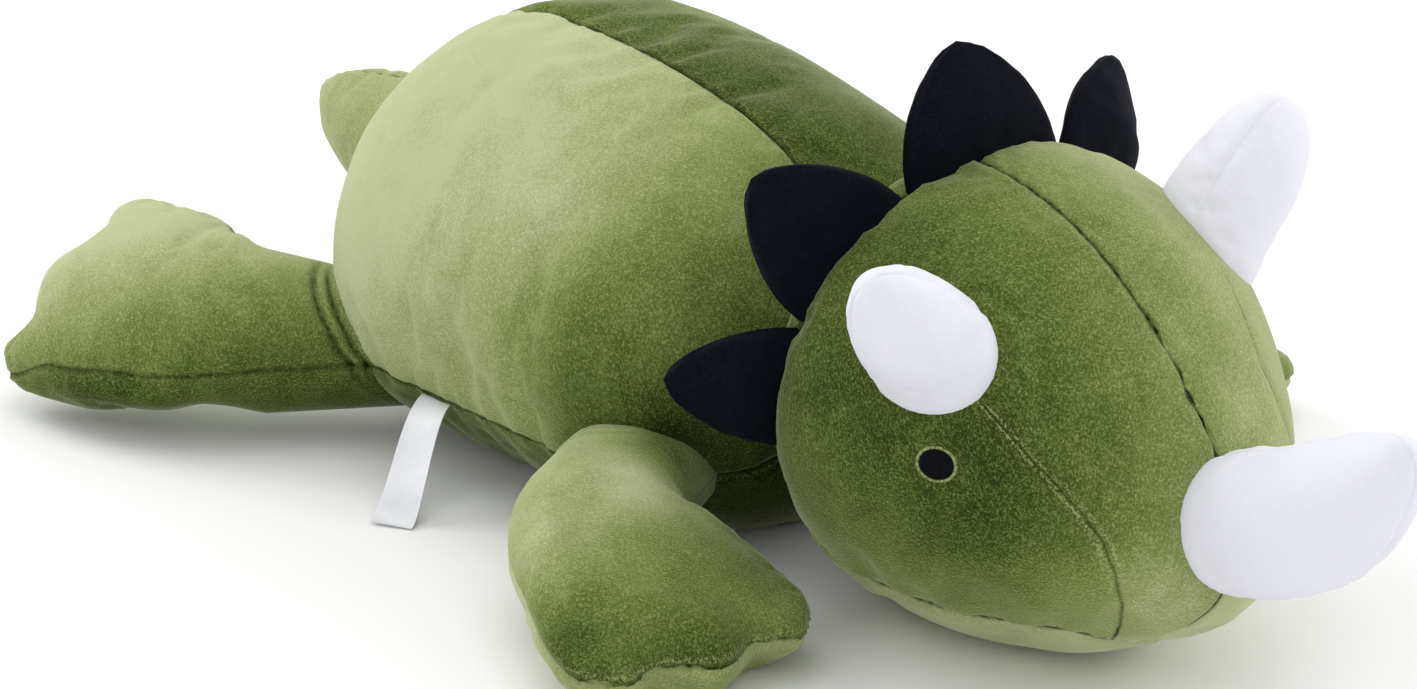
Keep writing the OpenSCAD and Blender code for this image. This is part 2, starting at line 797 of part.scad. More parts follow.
body_right_panel();
body_left_panel();
body_belly_panel();
body_stuffing();
neck_body_collar();
neck_ball();
neck_head_collar();
head_right_panel();
head_left_panel();
head_chin_panel();
head_back_right();
head_back_left();
head_stuffing();
eye_right();
eye_left();
nose_horn_right();
nose_horn_left();
nose_horn_stuffing();
brow_horn_right_front();
brow_horn_right_back();
brow_horn_right_stuffing();
brow_horn_left_front();
brow_horn_left_back();
brow_horn_left_stuffing();
frill_right_low_front();
frill_right_low_back();
frill_right_low_stuffing();
frill_right_high_front();
frill_right_high_back();
frill_right_high_stuffing();
frill_top_front();
frill_top_back();
frill_top_stuffing();
frill_left_high_front();
frill_left_high_back();
frill_left_high_stuffing();
frill_left_low_front();
frill_left_low_back();
frill_left_low_stuffing();
foot_front_right_top();
foot_front_right_sole();
foot_front_right_stuffing();
foot_front_left_top();
foot_front_left_sole();
foot_front_left_stuffing();
foot_hind_right_top();
foot_hind_right_sole();
foot_hind_right_stuffing();
foot_hind_left_top();
foot_hind_left_sole();
foot_hind_left_stuffing();
tail_right();
tail_left();
tail_stuffing();
care_label();
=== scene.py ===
"""Looks of the stuffed dinosaur: plush panels, sewn along their seams over stuffed forms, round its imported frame."""

import math
from collections import namedtuple

import bpy
import numpy as np
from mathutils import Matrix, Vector
from mathutils.bvhtree import BVHTree


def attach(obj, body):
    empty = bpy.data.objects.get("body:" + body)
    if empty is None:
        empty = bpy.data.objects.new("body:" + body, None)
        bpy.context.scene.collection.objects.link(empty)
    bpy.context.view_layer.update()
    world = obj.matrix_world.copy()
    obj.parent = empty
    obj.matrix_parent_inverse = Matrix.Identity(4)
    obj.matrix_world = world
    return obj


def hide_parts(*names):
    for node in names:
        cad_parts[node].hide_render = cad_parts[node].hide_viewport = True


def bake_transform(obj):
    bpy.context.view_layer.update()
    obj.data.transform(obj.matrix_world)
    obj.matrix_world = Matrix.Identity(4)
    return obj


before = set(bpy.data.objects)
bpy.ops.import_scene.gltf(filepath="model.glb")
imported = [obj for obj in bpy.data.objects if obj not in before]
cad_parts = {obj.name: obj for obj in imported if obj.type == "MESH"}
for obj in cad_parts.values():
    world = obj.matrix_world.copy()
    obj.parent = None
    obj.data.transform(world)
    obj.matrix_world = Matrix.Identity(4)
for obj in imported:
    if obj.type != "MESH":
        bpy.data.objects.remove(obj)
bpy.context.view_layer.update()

# Lengths are in mm, as in the part's source, and become metres when a mesh is made. Angles are in degrees
MM = 0.001
SIDES = {"right": -1, "left": 1}

# Body
BODY_REAR, BODY_FRONT, BODY_WIDTH, BODY_HEIGHT = 183, 118, 244, 198
SHOULDER_DROP, BODY_MID, BELLY_DIP = 57, 71, 5
RUMP_LENGTH, SHOULDER_LENGTH, NECK_SHARE, NECK_RISE = 106, 95, 0.5, 13
END_POWER, SECTION_POWER = 2.5, 0.92
RUMP_START = RUMP_LENGTH - BODY_REAR
SHOULDER_END = math.acos(NECK_SHARE ** (END_POWER / 2))  # radians
SHOULDER_START = BODY_FRONT - SHOULDER_LENGTH * math.sin(SHOULDER_END) ** (2 / END_POWER)
BACK_TOP = -BODY_REAR / 2
# Seams: angles from the top of the back, and where each starts to change, over what stretch of x
BELLY_SEAM, BELLY_SEAM_DROP, BELLY_SEAM_AT = 110, 20, (75, 45)
SPINE_REAR, SPINE_FRONT, SPINE_FROM, SPINE_OVER = -8, -3, -104, 168
RUMP_ROWS, WAIST_ROWS, SHOULDER_ROWS, NECK_ROWS = 56, 34, 34, 4
BODY_COLUMNS, BELLY_COLUMNS = 76, 44

# Neck, and the ring where the covers of body and head are sewn together
NECK_REAR, NECK_FRONT = 11, 11
NECK = np.array([BODY_FRONT + NECK_REAR, 0, BODY_MID + NECK_RISE], float)
NECK_RING_HALF, NECK_RING_TALL, NECK_RING_MID = 54, 40, 87

# Head. Places on it are angles back from the nose and round from the top
HEAD_TURN, HEAD_TILT = -5, 8
HEAD_REACH, HEAD_RISE = 68, 13
HEAD_FRONT, HEAD_BACK, HEAD_WIDTH, HEAD_TOP, HEAD_BOTTOM = 119, 64, 206, 99, 100
SNOUT, SNOUT_DROP, SNOUT_SPREAD = 35, 21, 0.2
FRILL_ANGLE, FRILL_FORWARD = 110, 17
CHIN_BACK, CHIN_ROUND = [20, 44, 60, 83, 112], [158, 152, 137, 123, 114]
FACE_ROWS, CHEEK_ROWS, NAPE_ROWS = 26, 44, 18
HEAD_COLUMNS, CHIN_COLUMNS = 72, 40
# The chin seam's share of the way to the frill at the cheek seams, and how much closer rows lie to those
CHEEK_SHARE, CHEEK_EASE = 0.4, 0.5
# Seam on each cheek, from the brow horn down to the chin. The left one lies nearer to the top
CHEEK_BACK = [46, 52, 53, 44, 36, 31, 28.5, 29, 32, 37, 45, 47]
CHEEK_ROUND_RIGHT = [0, 40, 56, 64, 74, 85, 97, 112, 127, 139, 152, 180]
CHEEK_ROUND_LEFT = [0, 28, 37, 44, 50, 57, 75, 112, 127, 139, 152, 180]
CHEEK_TOP_RIGHT, CHEEK_TOP_LEFT, CHEEK_LOW = 57, 41, 152

# Eyes
EYE_BACK, EYE_ROUND, EYE_LENGTH, EYE_HEIGHT = 57, 78, 15, 12.5
EYE_DEPTH, EYE_SPREAD = 3.2, 11
# Rim's size in sizes of the eye, its stitches, and the heights of the oval, its ridges and the rim
EYE_RIM, EYE_STRANDS, EYE_ROWS, EYE_COLUMNS = 1.22, 15, 64, 121
EYE_CLEAR, EYE_CROWN, EYE_RIDGE, EYE_RIM_RISE, EYE_RIM_FALL = 0.3, 0.9, 0.28, 0.5, 0.5

# Horns. The near brow horn is more tapered and the nose horn's tip curls up more than their solids
BROW_BACK, BROW_ROUND, BROW_RADIUS, BROW_LIFT, BROW_FORWARD = 64, 51, 25, 50, 0.15
BROW_LENGTHS = {"right": 57, "left": 67}
NOSE_LOW, NOSE_RADIUS, NOSE_LENGTH, NOSE_LIFT, NOSE_SAG = 4.5, 26, 112, 33, 6
NOSE_BULGE, NOSE_CURL = 0.15, 6
HORN_BLUNT, HORN_BLUNT_RIGHT = 2.6, 1.6
HORN_ROWS, HORN_COLUMNS = 32, 24

# Frill spikes
SPIKE_THICK, SPIKE_POWER, SPIKE_ROOT_SHARE, SPIKE_ROOT_FADE = 10, 0.72, 0.35, 2.5
SPIKE_ROWS, SPIKE_COLUMNS = 28, 20

# Feet. The toes are a little longer at the sides than the solids, and get round corners
FOOT_KNUCKLE, FOOT_NECK, FOOT_THICK = 26, 34, 29
TOE_NOTCH, TOE_ROUND, TOE_CORNER, BEND_SHARE, EDGE_POWER = 0.07, 0.03, 20, 0.42, 2.4
# Where the toes start and the foot narrows, as shares of its length with their stretch, how much, and where it is down
TOES, NARROW, NARROWING, FOOT_DOWN_AT = (0.6, 0.4), (0.8, 0.2), 0.1, 0.9
FOOT_ROWS, FOOT_COLUMNS, ROOT_ROWS = 88, 52, 24
# Stretch of a foot that its root rows take up, and how much closer the rows lie at the toes
ROOT_FROM, ROOT_TO, TOE_EASE = -12, 10, 1.7
# Hind legs: fullness over and under the seam, and where it fades, as a share of the length with its stretch. Press of
# the sole, its place and width, and the slope down to the body
LEG_OVER, LEG_UNDER, LEG_PRESS, LEG_SLOPE = (11, 0.15, 0.25), (12, 0.03, 0.22), (2.8, 0.4, 0.12), 0.3
# Hind seam on the outside, as shares of half a section above the edge: at the root, its rise and its fall at the toes
SLIDE_ROOT, SLIDE_RISE, SLIDE_RISE_OVER, SLIDE_FALL = -0.06, 0.24, 0.35, 0.18

# Tail
TAIL_HEIGHT, TAIL_LENGTH, TAIL_RADIUS, TAIL_RISE, TAIL_SET_BACK = 97, 125, 38, 13, 13.4
TAIL_GAP, TAIL_TAPER, TAIL_BLUNT = 0.6, 1.7, 0.62
TAIL_ROWS, TAIL_COLUMNS = 36, 28

# Label: place on its seam, width, reach and lean. Then its grid, the gap between its leaves, and where it lies
LABEL_X, LABEL_SEAM, LABEL_WIDTH, LABEL_REACH, LABEL_LEAN = 56, 112, 20.5, 56, 31
LABEL_STEPS, LABEL_COLUMNS, LABEL_PLY = 30, 12, 0.55
LABEL_SINK, LABEL_LOW, LABEL_CLEAR = 1.5, 1.4, 0.35
LABEL_CURL, LABEL_WAVE = 2.2, 0.5

# Cloth: the forms swell between their seams, which stay in place
SIM_FRAMES = 20
SIM_SETTINGS = dict(quality=5, mass=0.3, tension_stiffness=12, compression_stiffness=12, shear_stiffness=4)
SIM_SETTINGS |= dict(bending_stiffness=0.3, use_pressure=True, uniform_pressure_force=4)
SIM_SETTINGS |= dict(vertex_group_mass="held", shrink_min=-0.03)
# How far it may move a form's points: its name's start, and mm
SWELL_LIMIT = {"body": 5, "head": 4, "foot": 2.5, "tail": 1.2, "frill": 0.8, "brow": 0.7, "nose": 0.7}

# Seams: how deep and wide they sink, and how wide their dark line and how strong their pale lips are
SEAM_DEPTH, SEAM_WIDTH, SMALL_SEAM = 1.3, 2.0, 0.45
CHEEK_DEPTH, CHEEK_LINE, CHEEK_LIP = 0.9, 0.6, 0.9
CHEEK_DARK_BELOW, CHEEK_DARK_OVER = 70, 40
SEAM_LINE, SEAM_LIP, LIP_AT, LIP_WIDTH = 1.0, 0.3, 2.8, 1.1
# Puckers beside the seams, and lumps of the stuffing: height, size and seed
PUCKER, PUCKER_REACH, PUCKER_FROM = (0.5, 7, 1), 9, 2
LUMPS, LUMPS_FROM = ((0.9, 38, 2), (0.45, 17, 3)), 12
HORN_CALM, HORN_SEAM = 0.4, 0.5
# Toes: puckers along their seam, the creases, and where these start, as a share of the length or width with its stretch
ROPE, ROPE_REACH, TOE_CREASE = (1.0, 3, 5), 5, (1.8, 0.5, 0.09)
TOE_DETAIL, TOE_END, TOE_SIDE = (0.7, 0.25), (0.85, 0.15), (0.8, 0.2)
FOOT_LINE = {"front": 0.3, "hind": 0.7}
FOOT_SINK, TOE_LINE, FOOT_LIP, TOE_LIP = 0.6, 0.9, 0.1, 0.6

# Seats on body and head: rows that take part, and how far the first one is sunk
HORN_SEAT_ROWS, HORN_SINK = 8, 0.8
SPIKE_SEAT_ROWS, SPIKE_SINK = 6, 1.2
ROOT_SINK, FOOT_SEARCH = 1.0, 80
EVEN_ROWS, EVEN_ROUNDS = 16, 20
TAIL_SEAT_ROWS, TAIL_SEARCH, TAIL_SLOPE = 5, 90, 0.05
# Folds beside the body: distance from it, how far a fold swings out, and its depth
FOLDS = ((1, 7, 2.2), (3, 17, 3))
# Swelling beside a fold, and the painted shade and painted highlight that go with it: size, place and width
FOLD_SWELL, FOLD_SHADE, FOLD_HIGHLIGHT = (1, -3.5, 2.5), (0.8, 0.5, 1.8), (0.6, -3, 1.6)
FOLD_WIDTH, FOLD_SHOWN, FOLD_LIFT, FRONT_FOLD = 2, 1.6, 0.3, 0.25
# Folds round the tail's root: depth, step, where they are deepest, reach and sway
TAIL_FOLD, TAIL_FOLD_STEP, TAIL_FOLD_AT, TAIL_FOLD_REACH, TAIL_FOLD_SWAY = 2.2, 15, 14, 12, 5

# Pile: sizes of its patches, streaks, grain and stitches as noise scales, and the step from its tips to their shadow
# sides, which paints light and shade on the grain
PATCH_SCALE, STREAK_SCALE, GRAIN_SCALE, STITCH_SCALE = 14, 48, 1200, 330
PILE_STEP, PILE_DRAWN = 0.00024, (1, 1, 0.8)
# How strongly patches and grain show, how dark the grain's painted shade gets, and how the grain fades towards pale
# pile
PILE_PATCHY, PILE_CONTRAST, PILE_DARKEST = 0.2, 0.9, -0.1
GRAIN_DARK, GRAIN_FADE = 1.2, 0.6
SHEEN_ROUGHNESS = 0.3
# Tones of the green, navy and white pile, from dark to pale
GREEN = [(0.012, 0.022, 0.003), (0.045, 0.068, 0.01), (0.11, 0.155, 0.034)]
GREEN += [(0.2, 0.25, 0.075), (0.32, 0.36, 0.16), (0.46, 0.5, 0.28)]
NAVY = [(0.0006, 0.0008, 0.0016), (0.002, 0.0028, 0.0065), (0.008, 0.011, 0.022)]
WHITE = [(0.72, 0.72, 0.79), (0.78, 0.78, 0.85), (0.82, 0.82, 0.88)]
# Colours of the seams. The green one is also painted shade in the folds at the feet's roots
GREEN_SEAM_AND_FOLD_SHADE, NAVY_SEAM, WHITE_SEAM = (0.008, 0.014, 0.002), (0.0005, 0.0005, 0.001), (0.72, 0.73, 0.77)
# Painted light and shade: the pile's tone from 0, dark, to 1, pale, at the origin, and its change per 100 mm along x, y
# and z
PAINTED_LIGHT_TONE = {
    "body_right": (0.23, -0.3, -0.15, 0.29),
    "body_left": (0.69, -0.15, 0.1, -0.23),
    "body_belly": (0.2, -0.1, 0, 0),
    "head_chin": (1.46, -0.08, 0.52, -0.2),
    "head": (1.22, -0.08, 0.52, -0.2),
    "foot_front": (0.38, -0.25, -0.13, 0.68),
    "foot_hind": (-0.18, -0.44, 0.23, 0.62),
    "tail": (0.8, 0, 0, 0),
}
PLAIN_LAY = 0.5
PALEST = {"head": 0.76, "body_left": 0.75}
# Change of the painted light and shade on the soles, and the shares of a foot's length where it starts and over which
# it fades in
SOLE_PAINTED_LIGHT, SOLE_AT = {"foot_front": 0.45, "foot_hind": -0.16}, (0.15, 0.3)
# Soft spots of painted light and shade: middle, radius and change of tone
PAINTED_LIGHT_SPOTS = (
    ((48, -118, 94), 42, -0.17),
    ((-5, -120, 52), 34, 0.2),
    ((12, -98, 142), 40, 0.12),
    ((278, -88, 86), 36, -0.16),
    ((330, -39, 47), 32, 0.22),
    ((125, -138, 64), 20, 0.3),
    ((122, -200, 50), 26, 0.15),
    ((104, -110, 62), 18, -0.4),
    ((205, -129, 28), 26, 0.25),
    ((168, -212, 34), 22, -0.15),
)

# Pieces: height over the floor, and half the width of the floor
FLOOR_CLEAR, FLOOR_SIZE = 0.3, 6000
# Panels whose nodes have a longer name
PANEL_NODES = ("body_right", "body_left", "body_belly", "head_right", "head_left", "head_chin")

# Camera and lights, in metres: each light's place, size and power
CAMERA_AZIMUTH, CAMERA_HEIGHT, CAMERA_DISTANCE = 50, 20, 1.6
CAMERA_TARGET = Vector((0.05, -0.042, 0.08))
CAMERA_LENS, CAMERA_SENSOR = 92.68, 36
LIGHTS = {
    "left": ((-1.9, -0.5, 1.3), 1.3, 14),
    "right": ((0.9, 1.7, 0.9), 1.2, 8),
    "top": ((0, 0, 2.4), 1.8, 8),
}
LIGHT_AIM, WORLD_LIGHT = Vector((0.05, 0, 0.1)), 0.95


def cosd(a):
    return np.cos(np.radians(a))


def sind(a):
    return np.sin(np.radians(a))


def spow(c, e):
    return np.sign(c) * np.abs(c) ** e


def smooth(t):
    k = np.clip(t, 0, 1)
    return k * k * (3 - 2 * k)


def mix(a, b, t):
    return a + (b - a) * t


def fade_in(x, start, over):
    return smooth((x - start) / over)


def hump(x, width):
    """1 at 0, and nearly 0 two widths away."""
    return np.exp(-((x / width) ** 2))


def bump(x, height, place, width):
    return height * hump(x - place, width)


def unit(v):
    return v / np.linalg.norm(v, axis=-1, keepdims=True)


def points_of(*xyz):
    return np.stack(np.broadcast_arrays(*xyz), -1).astype(float)


def steps(n, start=0, end=1):
    return np.linspace(start, end, n + 1)


def eased(n, share=0.6):
    """n steps from 0 to 1 that lie closer at both ends, where the seams are."""
    return mix(steps(n), 0.5 - 0.5 * np.cos(np.pi * steps(n)), share)


def quads_of(g):
    return np.stack([g[:-1, :-1], g[:-1, 1:], g[1:, 1:], g[1:, :-1]], -1).reshape(-1, 4)


def faces_of(quads):
    """Faces without the corners that repeat where a grid closes to a point."""
    corners = [list(dict.fromkeys(q)) for q in quads.tolist()]
    return [c for c in corners if len(c) > 2]


def added(name, data):
    """A new object in the scene."""
    obj = bpy.data.objects.new(name, data)
    bpy.context.scene.collection.objects.link(obj)
    return obj


# Sewn forms

# Sides of a panel that are sewn: first row, last row, first column and last column
ALL_SEWN = (True, True, True, True)
START_OPEN = (False, True, True, True)
COLUMNS_SEWN = (False, False, True, True)
ROWS_SEWN = (True, True, False, False)


class Form:
    """A stuffed piece: its welded points in mm, and its panels as grids of point numbers."""

    WELD = 1e-3
    FAR = 1e3

    def __init__(self, name, panels):
        """Each panel is a name, a grid of points and the flags of its sewn sides."""
        self.name = name
        self.names, grids, self.sewn = zip(*panels)
        stacked = np.concatenate([grid.reshape(-1, 3) for grid in grids])
        keys = np.round(stacked / self.WELD).astype(int)
        _, first, number = np.unique(keys, axis=0, return_index=True, return_inverse=True)
        self.points = stacked[first]
        ends = np.cumsum([grid[..., 0].size for grid in grids])[:-1]
        self.grids = [k.reshape(grid.shape[:2]) for k, grid in zip(np.split(number.ravel(), ends), grids)]
        corner = self.points[self.quads()] - self.points.mean(0)
        self.flipped = bool((np.cross(corner[:, 0], corner[:, 1]) * corner[:, 2]).sum() < 0)
        if self.flipped:
            self.grids = [g[:, ::-1] for g in self.grids]
            self.sewn = [(a, b, d, c) for a, b, c, d in self.sewn]

    def quads(self, step=1):
        return np.concatenate([quads_of(g[::step, ::step]) for g in self.grids])

    def normals(self):
        q, p = self.quads(), self.points
        face = np.cross(p[q[:, 2]] - p[q[:, 0]], p[q[:, 3]] - p[q[:, 1]])
        made = np.zeros_like(p)
        for k in range(4):
            np.add.at(made, q[:, k], face)
        return unit(made + 1e-12)

    def run(self, g, axis):
        """Length along the fabric from the start of each line of a grid."""
        steps = np.linalg.norm(np.diff(self.points[g], axis=axis), axis=2).cumsum(axis)
        return np.insert(steps, 0, 0, axis)

    def seam_distance(self):
        """Distance of each point from the nearest sewn side of its panel, along the fabric."""
        made = np.full(len(self.points), self.FAR)
        for g, sewn in zip(self.grids, self.sewn):
            down, over = self.run(g, 0), self.run(g, 1)
            for flag, far in zip(sewn, (down, down[-1:] - down, over, over[:, -1:] - over)):
                if flag:
                    np.minimum.at(made, g.ravel(), far.ravel())
        return made

    def cheek_distance(self):
        """Distance of each point of the head from the cheek seams, along the fabric."""
        made = np.full(len(self.points), self.FAR)
        for k, sewn in self.cheek_columns.items():
            g = self.grids[k][:, sewn]
            down = self.run(g, 0)
            np.minimum.at(made, g.ravel(), np.abs(down - down[FACE_ROWS]).ravel())
        return made

    def tree(self):
        return BVHTree.FromPolygons([Vector(p) for p in self.points], self.quads().tolist())


# Body


def body_fullness(x):
    rump = np.clip((RUMP_START - x) / RUMP_LENGTH, 0, 1)
    front = np.clip((x - SHOULDER_START) / SHOULDER_LENGTH, 0, 1)
    t = np.where(x < RUMP_START, rump, front)
    return (1 - t**END_POWER) ** (1 / END_POWER)


def body_surface(x, full, angle):
    c = spow(cosd(angle), SECTION_POWER)
    back = BODY_HEIGHT - SHOULDER_DROP * ((x - BACK_TOP) / (BODY_FRONT - BACK_TOP)) ** 2
    mid = BODY_MID + NECK_RISE * fade_in(x, SHOULDER_START, BODY_FRONT - SHOULDER_START)
    half = np.where(c > 0, back - mid, mid + BELLY_DIP) * full
    y = BODY_WIDTH / 2 * full * spow(sind(angle), SECTION_POWER)
    return points_of(x, y, np.maximum(0, mid + half * c))


def body_at(x, angle):
    x = np.array(x, float)
    return body_surface(x, body_fullness(x), angle)


def body_normal(x, angle):
    along = body_at(x + 0.5, angle) - body_at(x - 0.5, angle)
    round_it = body_at(x, angle + 0.5) - body_at(x, angle - 0.5)
    return unit(np.cross(along, round_it))


def body_rows():
    """x and fullness of the body's rings, from the end of the rump to the neck."""
    rump = np.radians(steps(RUMP_ROWS, 90, 0))
    front = SHOULDER_END * steps(SHOULDER_ROWS)[1:]
    power = 2 / END_POWER
    x = [
        RUMP_START - RUMP_LENGTH * np.sin(rump) ** power,
        steps(WAIST_ROWS, RUMP_START, SHOULDER_START)[1:],
        SHOULDER_START + SHOULDER_LENGTH * np.sin(front) ** power,
    ]
    full = np.concatenate([np.abs(np.cos(rump)) ** power, np.ones(WAIST_ROWS), np.cos(front) ** power])
    full[0] = 0
    return np.concatenate(x)[:, None], full[:, None]


def to_neck(grid, turn):
    """Adds the rows that run from a grid's last row to the ring of the neck."""
    ring = points_of(NECK[0], NECK_RING_HALF * sind(turn), NECK_RING_MID + NECK_RING_TALL * cosd(turn))
    share = smooth(steps(NECK_ROWS)[1:])[:, None, None]
    return np.concatenate([grid, mix(grid[-1][None], ring[None], share)])


def body_form():
    """Its belly seams drop towards the neck, and the seam along its back lies a little to the right."""
    x, full = body_rows()
    belly = BELLY_SEAM + BELLY_SEAM_DROP * fade_in(x, *BELLY_SEAM_AT)
    spine = mix(SPINE_REAR, SPINE_FRONT, np.clip((x - SPINE_FROM) / SPINE_OVER, 0, 1))
    turns = {
        "body_right": mix(-belly, spine, eased(BODY_COLUMNS)),
        "body_left": mix(spine, belly, eased(BODY_COLUMNS)),
        "body_belly": mix(belly, 360 - belly, eased(BELLY_COLUMNS)),
    }
    grids = {name: to_neck(body_surface(x, full, turn), turn[-1]) for name, turn in turns.items()}
    return Form("body", [(name, grid, START_OPEN) for name, grid in grids.items()])


# Head


def head_vector(p):
    y = p[..., 1] * cosd(HEAD_TILT) - p[..., 2] * sind(HEAD_TILT)
    z = p[..., 1] * sind(HEAD_TILT) + p[..., 2] * cosd(HEAD_TILT)
    c, s = cosd(HEAD_TURN), sind(HEAD_TURN)
    return points_of(p[..., 0] * c - y * s, p[..., 0] * s + y * c, z)


def head_place(p):
    q = NECK + head_vector(p + np.array([HEAD_REACH, 0, HEAD_RISE]))
    q[..., 2] = np.maximum(q[..., 2], 0)
    return q


def head_local(d):
    tip = np.array([cosd(SNOUT_DROP), 0, -sind(SNOUT_DROP)])
    side = np.where(d[..., 0] > 0, HEAD_FRONT, HEAD_BACK)
    up = np.where(d[..., 2] > 0, HEAD_TOP, HEAD_BOTTOM)
    bulge = np.where(d[..., 0] > 0, SNOUT * np.exp((d @ tip - 1) / SNOUT_SPREAD), 0)
    return points_of(d[..., 0] * side, d[..., 1] * HEAD_WIDTH / 2, d[..., 2] * up) + bulge[..., None] * tip


def direction(back, turn):
    return points_of(cosd(back), sind(back) * sind(turn), sind(back) * cosd(turn))


def head_at(back, turn):
    return head_place(head_local(direction(back, turn)))


def frill_back(turn):
    return FRILL_ANGLE - FRILL_FORWARD * np.maximum(0, cosd(turn)) ** 2


def cheek_back(turn):
    turn = (turn + 180) % 360 - 180
    left = np.interp(turn, CHEEK_ROUND_LEFT, CHEEK_BACK)
    return np.where(turn > 0, left, np.interp(-turn, CHEEK_ROUND_RIGHT, CHEEK_BACK))


def head_form():
    """Rows run from the nose to the cheek seams, to the frill seam and to the neck."""
    split = FACE_ROWS + CHEEK_ROWS
    nape = math.degrees(math.acos(-(HEAD_REACH - NECK_FRONT) / HEAD_BACK))
    shares = [
        steps(FACE_ROWS) * CHEEK_SHARE,
        mix(CHEEK_SHARE, 1, steps(CHEEK_ROWS)[1:]),
        np.ones(NAPE_ROWS),
    ]
    chin = np.interp(np.concatenate(shares) * FRILL_ANGLE, CHIN_BACK, CHIN_ROUND)[:, None]
    turns = {
        "right": mix(-chin, 0, eased(HEAD_COLUMNS)),
        "left": mix(0, chin, eased(HEAD_COLUMNS)),
        "chin": mix(chin, 360 - chin, eased(CHIN_COLUMNS)),
    }
    to_cheek, to_frill = eased(FACE_ROWS, CHEEK_EASE)[:, None], eased(CHEEK_ROWS, CHEEK_EASE)[1:, None]
    to_nape = steps(NAPE_ROWS)[1:, None]
    grids = {}
    for name, turn in turns.items():
        face, cheek, _ = np.split(cheek_back(turn), [FACE_ROWS + 1, split + 1])
        _, frill, back = np.split(frill_back(turn), [FACE_ROWS + 1, split + 1])
        rows = [to_cheek * face, mix(cheek, frill, to_frill), mix(back, nape, to_nape)]
        grids[name] = to_neck(head_at(np.concatenate(rows), turn), turn[-1])
    half = CHIN_COLUMNS // 2
    back_right = np.concatenate([grids["chin"][split:, half:-1], grids["right"][split:]], 1)
    back_left = np.concatenate([grids["left"][split:, :-1], grids["chin"][split:, : half + 1]], 1)
    panels = [(f"head_{name}", grid[: split + 1], START_OPEN) for name, grid in grids.items()]
    panels += [("head_back_right", back_right, ALL_SEWN), ("head_back_left", back_left, ALL_SEWN)]
    form = Form("head", panels)
    form.cheek_columns = {}
    for k, (name, top) in enumerate((("right", CHEEK_TOP_RIGHT), ("left", CHEEK_TOP_LEFT))):
        turn = np.abs(turns[name][FACE_ROWS])
        sewn = (turn > top) & (turn < CHEEK_LOW)
        form.cheek_columns[k] = sewn[::-1] if form.flipped else sewn
    return form


# Horns

# Where a horn stands on the head, as a direction, and how far its tip reaches. Seam_turn turns its seams
Horn = namedtuple("Horn", "spot reach radius sag curl bulge blunt seam_turn", defaults=(0, 0, 0, HORN_BLUNT, 0))


def horn_points(h, v, turn):
    """Points on a horn: a ring on the head at v = 0, and its tip, which curls up, at v = 1."""
    e = unit(np.cross(h.spot, [0, 1, 0.001]))
    f = np.cross(h.spot, e)
    c, s = cosd(turn)[..., None], sind(turn)[..., None]
    foot = head_local(h.spot)
    rim = head_local(unit(h.spot + h.radius * 2 / HEAD_WIDTH * (c * e + s * f))) - foot
    axis = unit(h.reach)
    ee = unit(e - axis * (e @ axis))
    full = h.radius * (c * ee + s * np.cross(axis, ee))
    w = v[..., None]
    drop = points_of(0 * v, 0 * v, h.curl * v**3 - h.sag * 4 * v * (1 - v))
    width = (1 + h.bulge * np.sin(np.pi * w)) * (1 - w**h.blunt) ** 0.5
    return head_place(foot + h.reach * w + drop + width * mix(rim, full, smooth(w * 2)))


def two_halves(name, words, rows, columns, surface, turned=0):
    """A form of two panels that each go half way round it."""
    panels = []
    for word, start in zip(words, (180, 0)):
        v, turn = np.broadcast_arrays(steps(rows)[:, None], start + turned + 180 * eased(columns))
        panels.append((f"{name}_{word}", surface(v, turn), COLUMNS_SEWN))
    return Form(name, panels)


def horn_form(name, words, horn):
    return two_halves(
        name, words, HORN_ROWS, HORN_COLUMNS, lambda v, turn: horn_points(horn, v, turn), horn.seam_turn
    )


def horn_forms():
    nose_reach = NOSE_LENGTH * np.array([cosd(NOSE_LIFT), 0, sind(NOSE_LIFT)])
    nose = Horn(direction(NOSE_LOW, 180), nose_reach, NOSE_RADIUS, NOSE_SAG, NOSE_CURL, NOSE_BULGE)
    made = [horn_form("nose_horn", ("right", "left"), nose)]
    for word, side in SIDES.items():
        way = np.array([BROW_FORWARD, side * cosd(BROW_LIFT) * sind(BROW_BACK), sind(BROW_LIFT)])
        blunt = HORN_BLUNT_RIGHT if word == "right" else HORN_BLUNT
        spot = direction(BROW_BACK, side * BROW_ROUND)
        brow = Horn(spot, BROW_LENGTHS[word] * way, BROW_RADIUS, blunt=blunt, seam_turn=90)
        made.append(horn_form(f"brow_horn_{word}", ("front", "back"), brow))
    return made


# Frill spikes

# Angle round the head, width as an angle, lean to the back, length, and sway of the tip round the head
Spike = namedtuple("Spike", "turn arc lean length sway")
SPIKES = {
    "frill_right_low": Spike(-75, 32, 32, 48, 0),
    "frill_right_high": Spike(-39, 38, 32, 48, 5),
    "frill_top": Spike(4, 46, 13, 48, -7),
    "frill_left_high": Spike(47, 38, 32, 58, 0),
    "frill_left_low": Spike(83, 32, 32, 58, 0),
}


def spike_axis(k):
    turn = k.turn + k.sway
    return np.array([-sind(k.lean), cosd(k.lean) * sind(turn), cosd(k.lean) * cosd(turn)])


def spike_form(name, k):
    a = steps(SPIKE_ROWS, -1, 1)[:, None]
    b = steps(SPIKE_COLUMNS)[None, :]
    turn = k.turn + a * (1 - b**2) ** SPIKE_POWER * k.arc / 2
    base = head_local(direction(frill_back(turn), turn))
    axis = spike_axis(k)
    normal = unit(np.cross([0, cosd(k.turn), -sind(k.turn)], axis))
    root = mix(SPIKE_ROOT_SHARE, 1, smooth(b * SPIKE_ROOT_FADE))
    half = SPIKE_THICK * np.sqrt(1 - a * a) * np.sqrt(1 - b * b) * root
    panels = []
    for side, word in ((1, "front"), (-1, "back")):
        grid = head_place(base + axis * b[..., None] * k.length + normal * side * half[..., None])
        panels.append((f"{name}_{word}", grid, ROWS_SEWN))
    return Form(name, panels)


# Feet

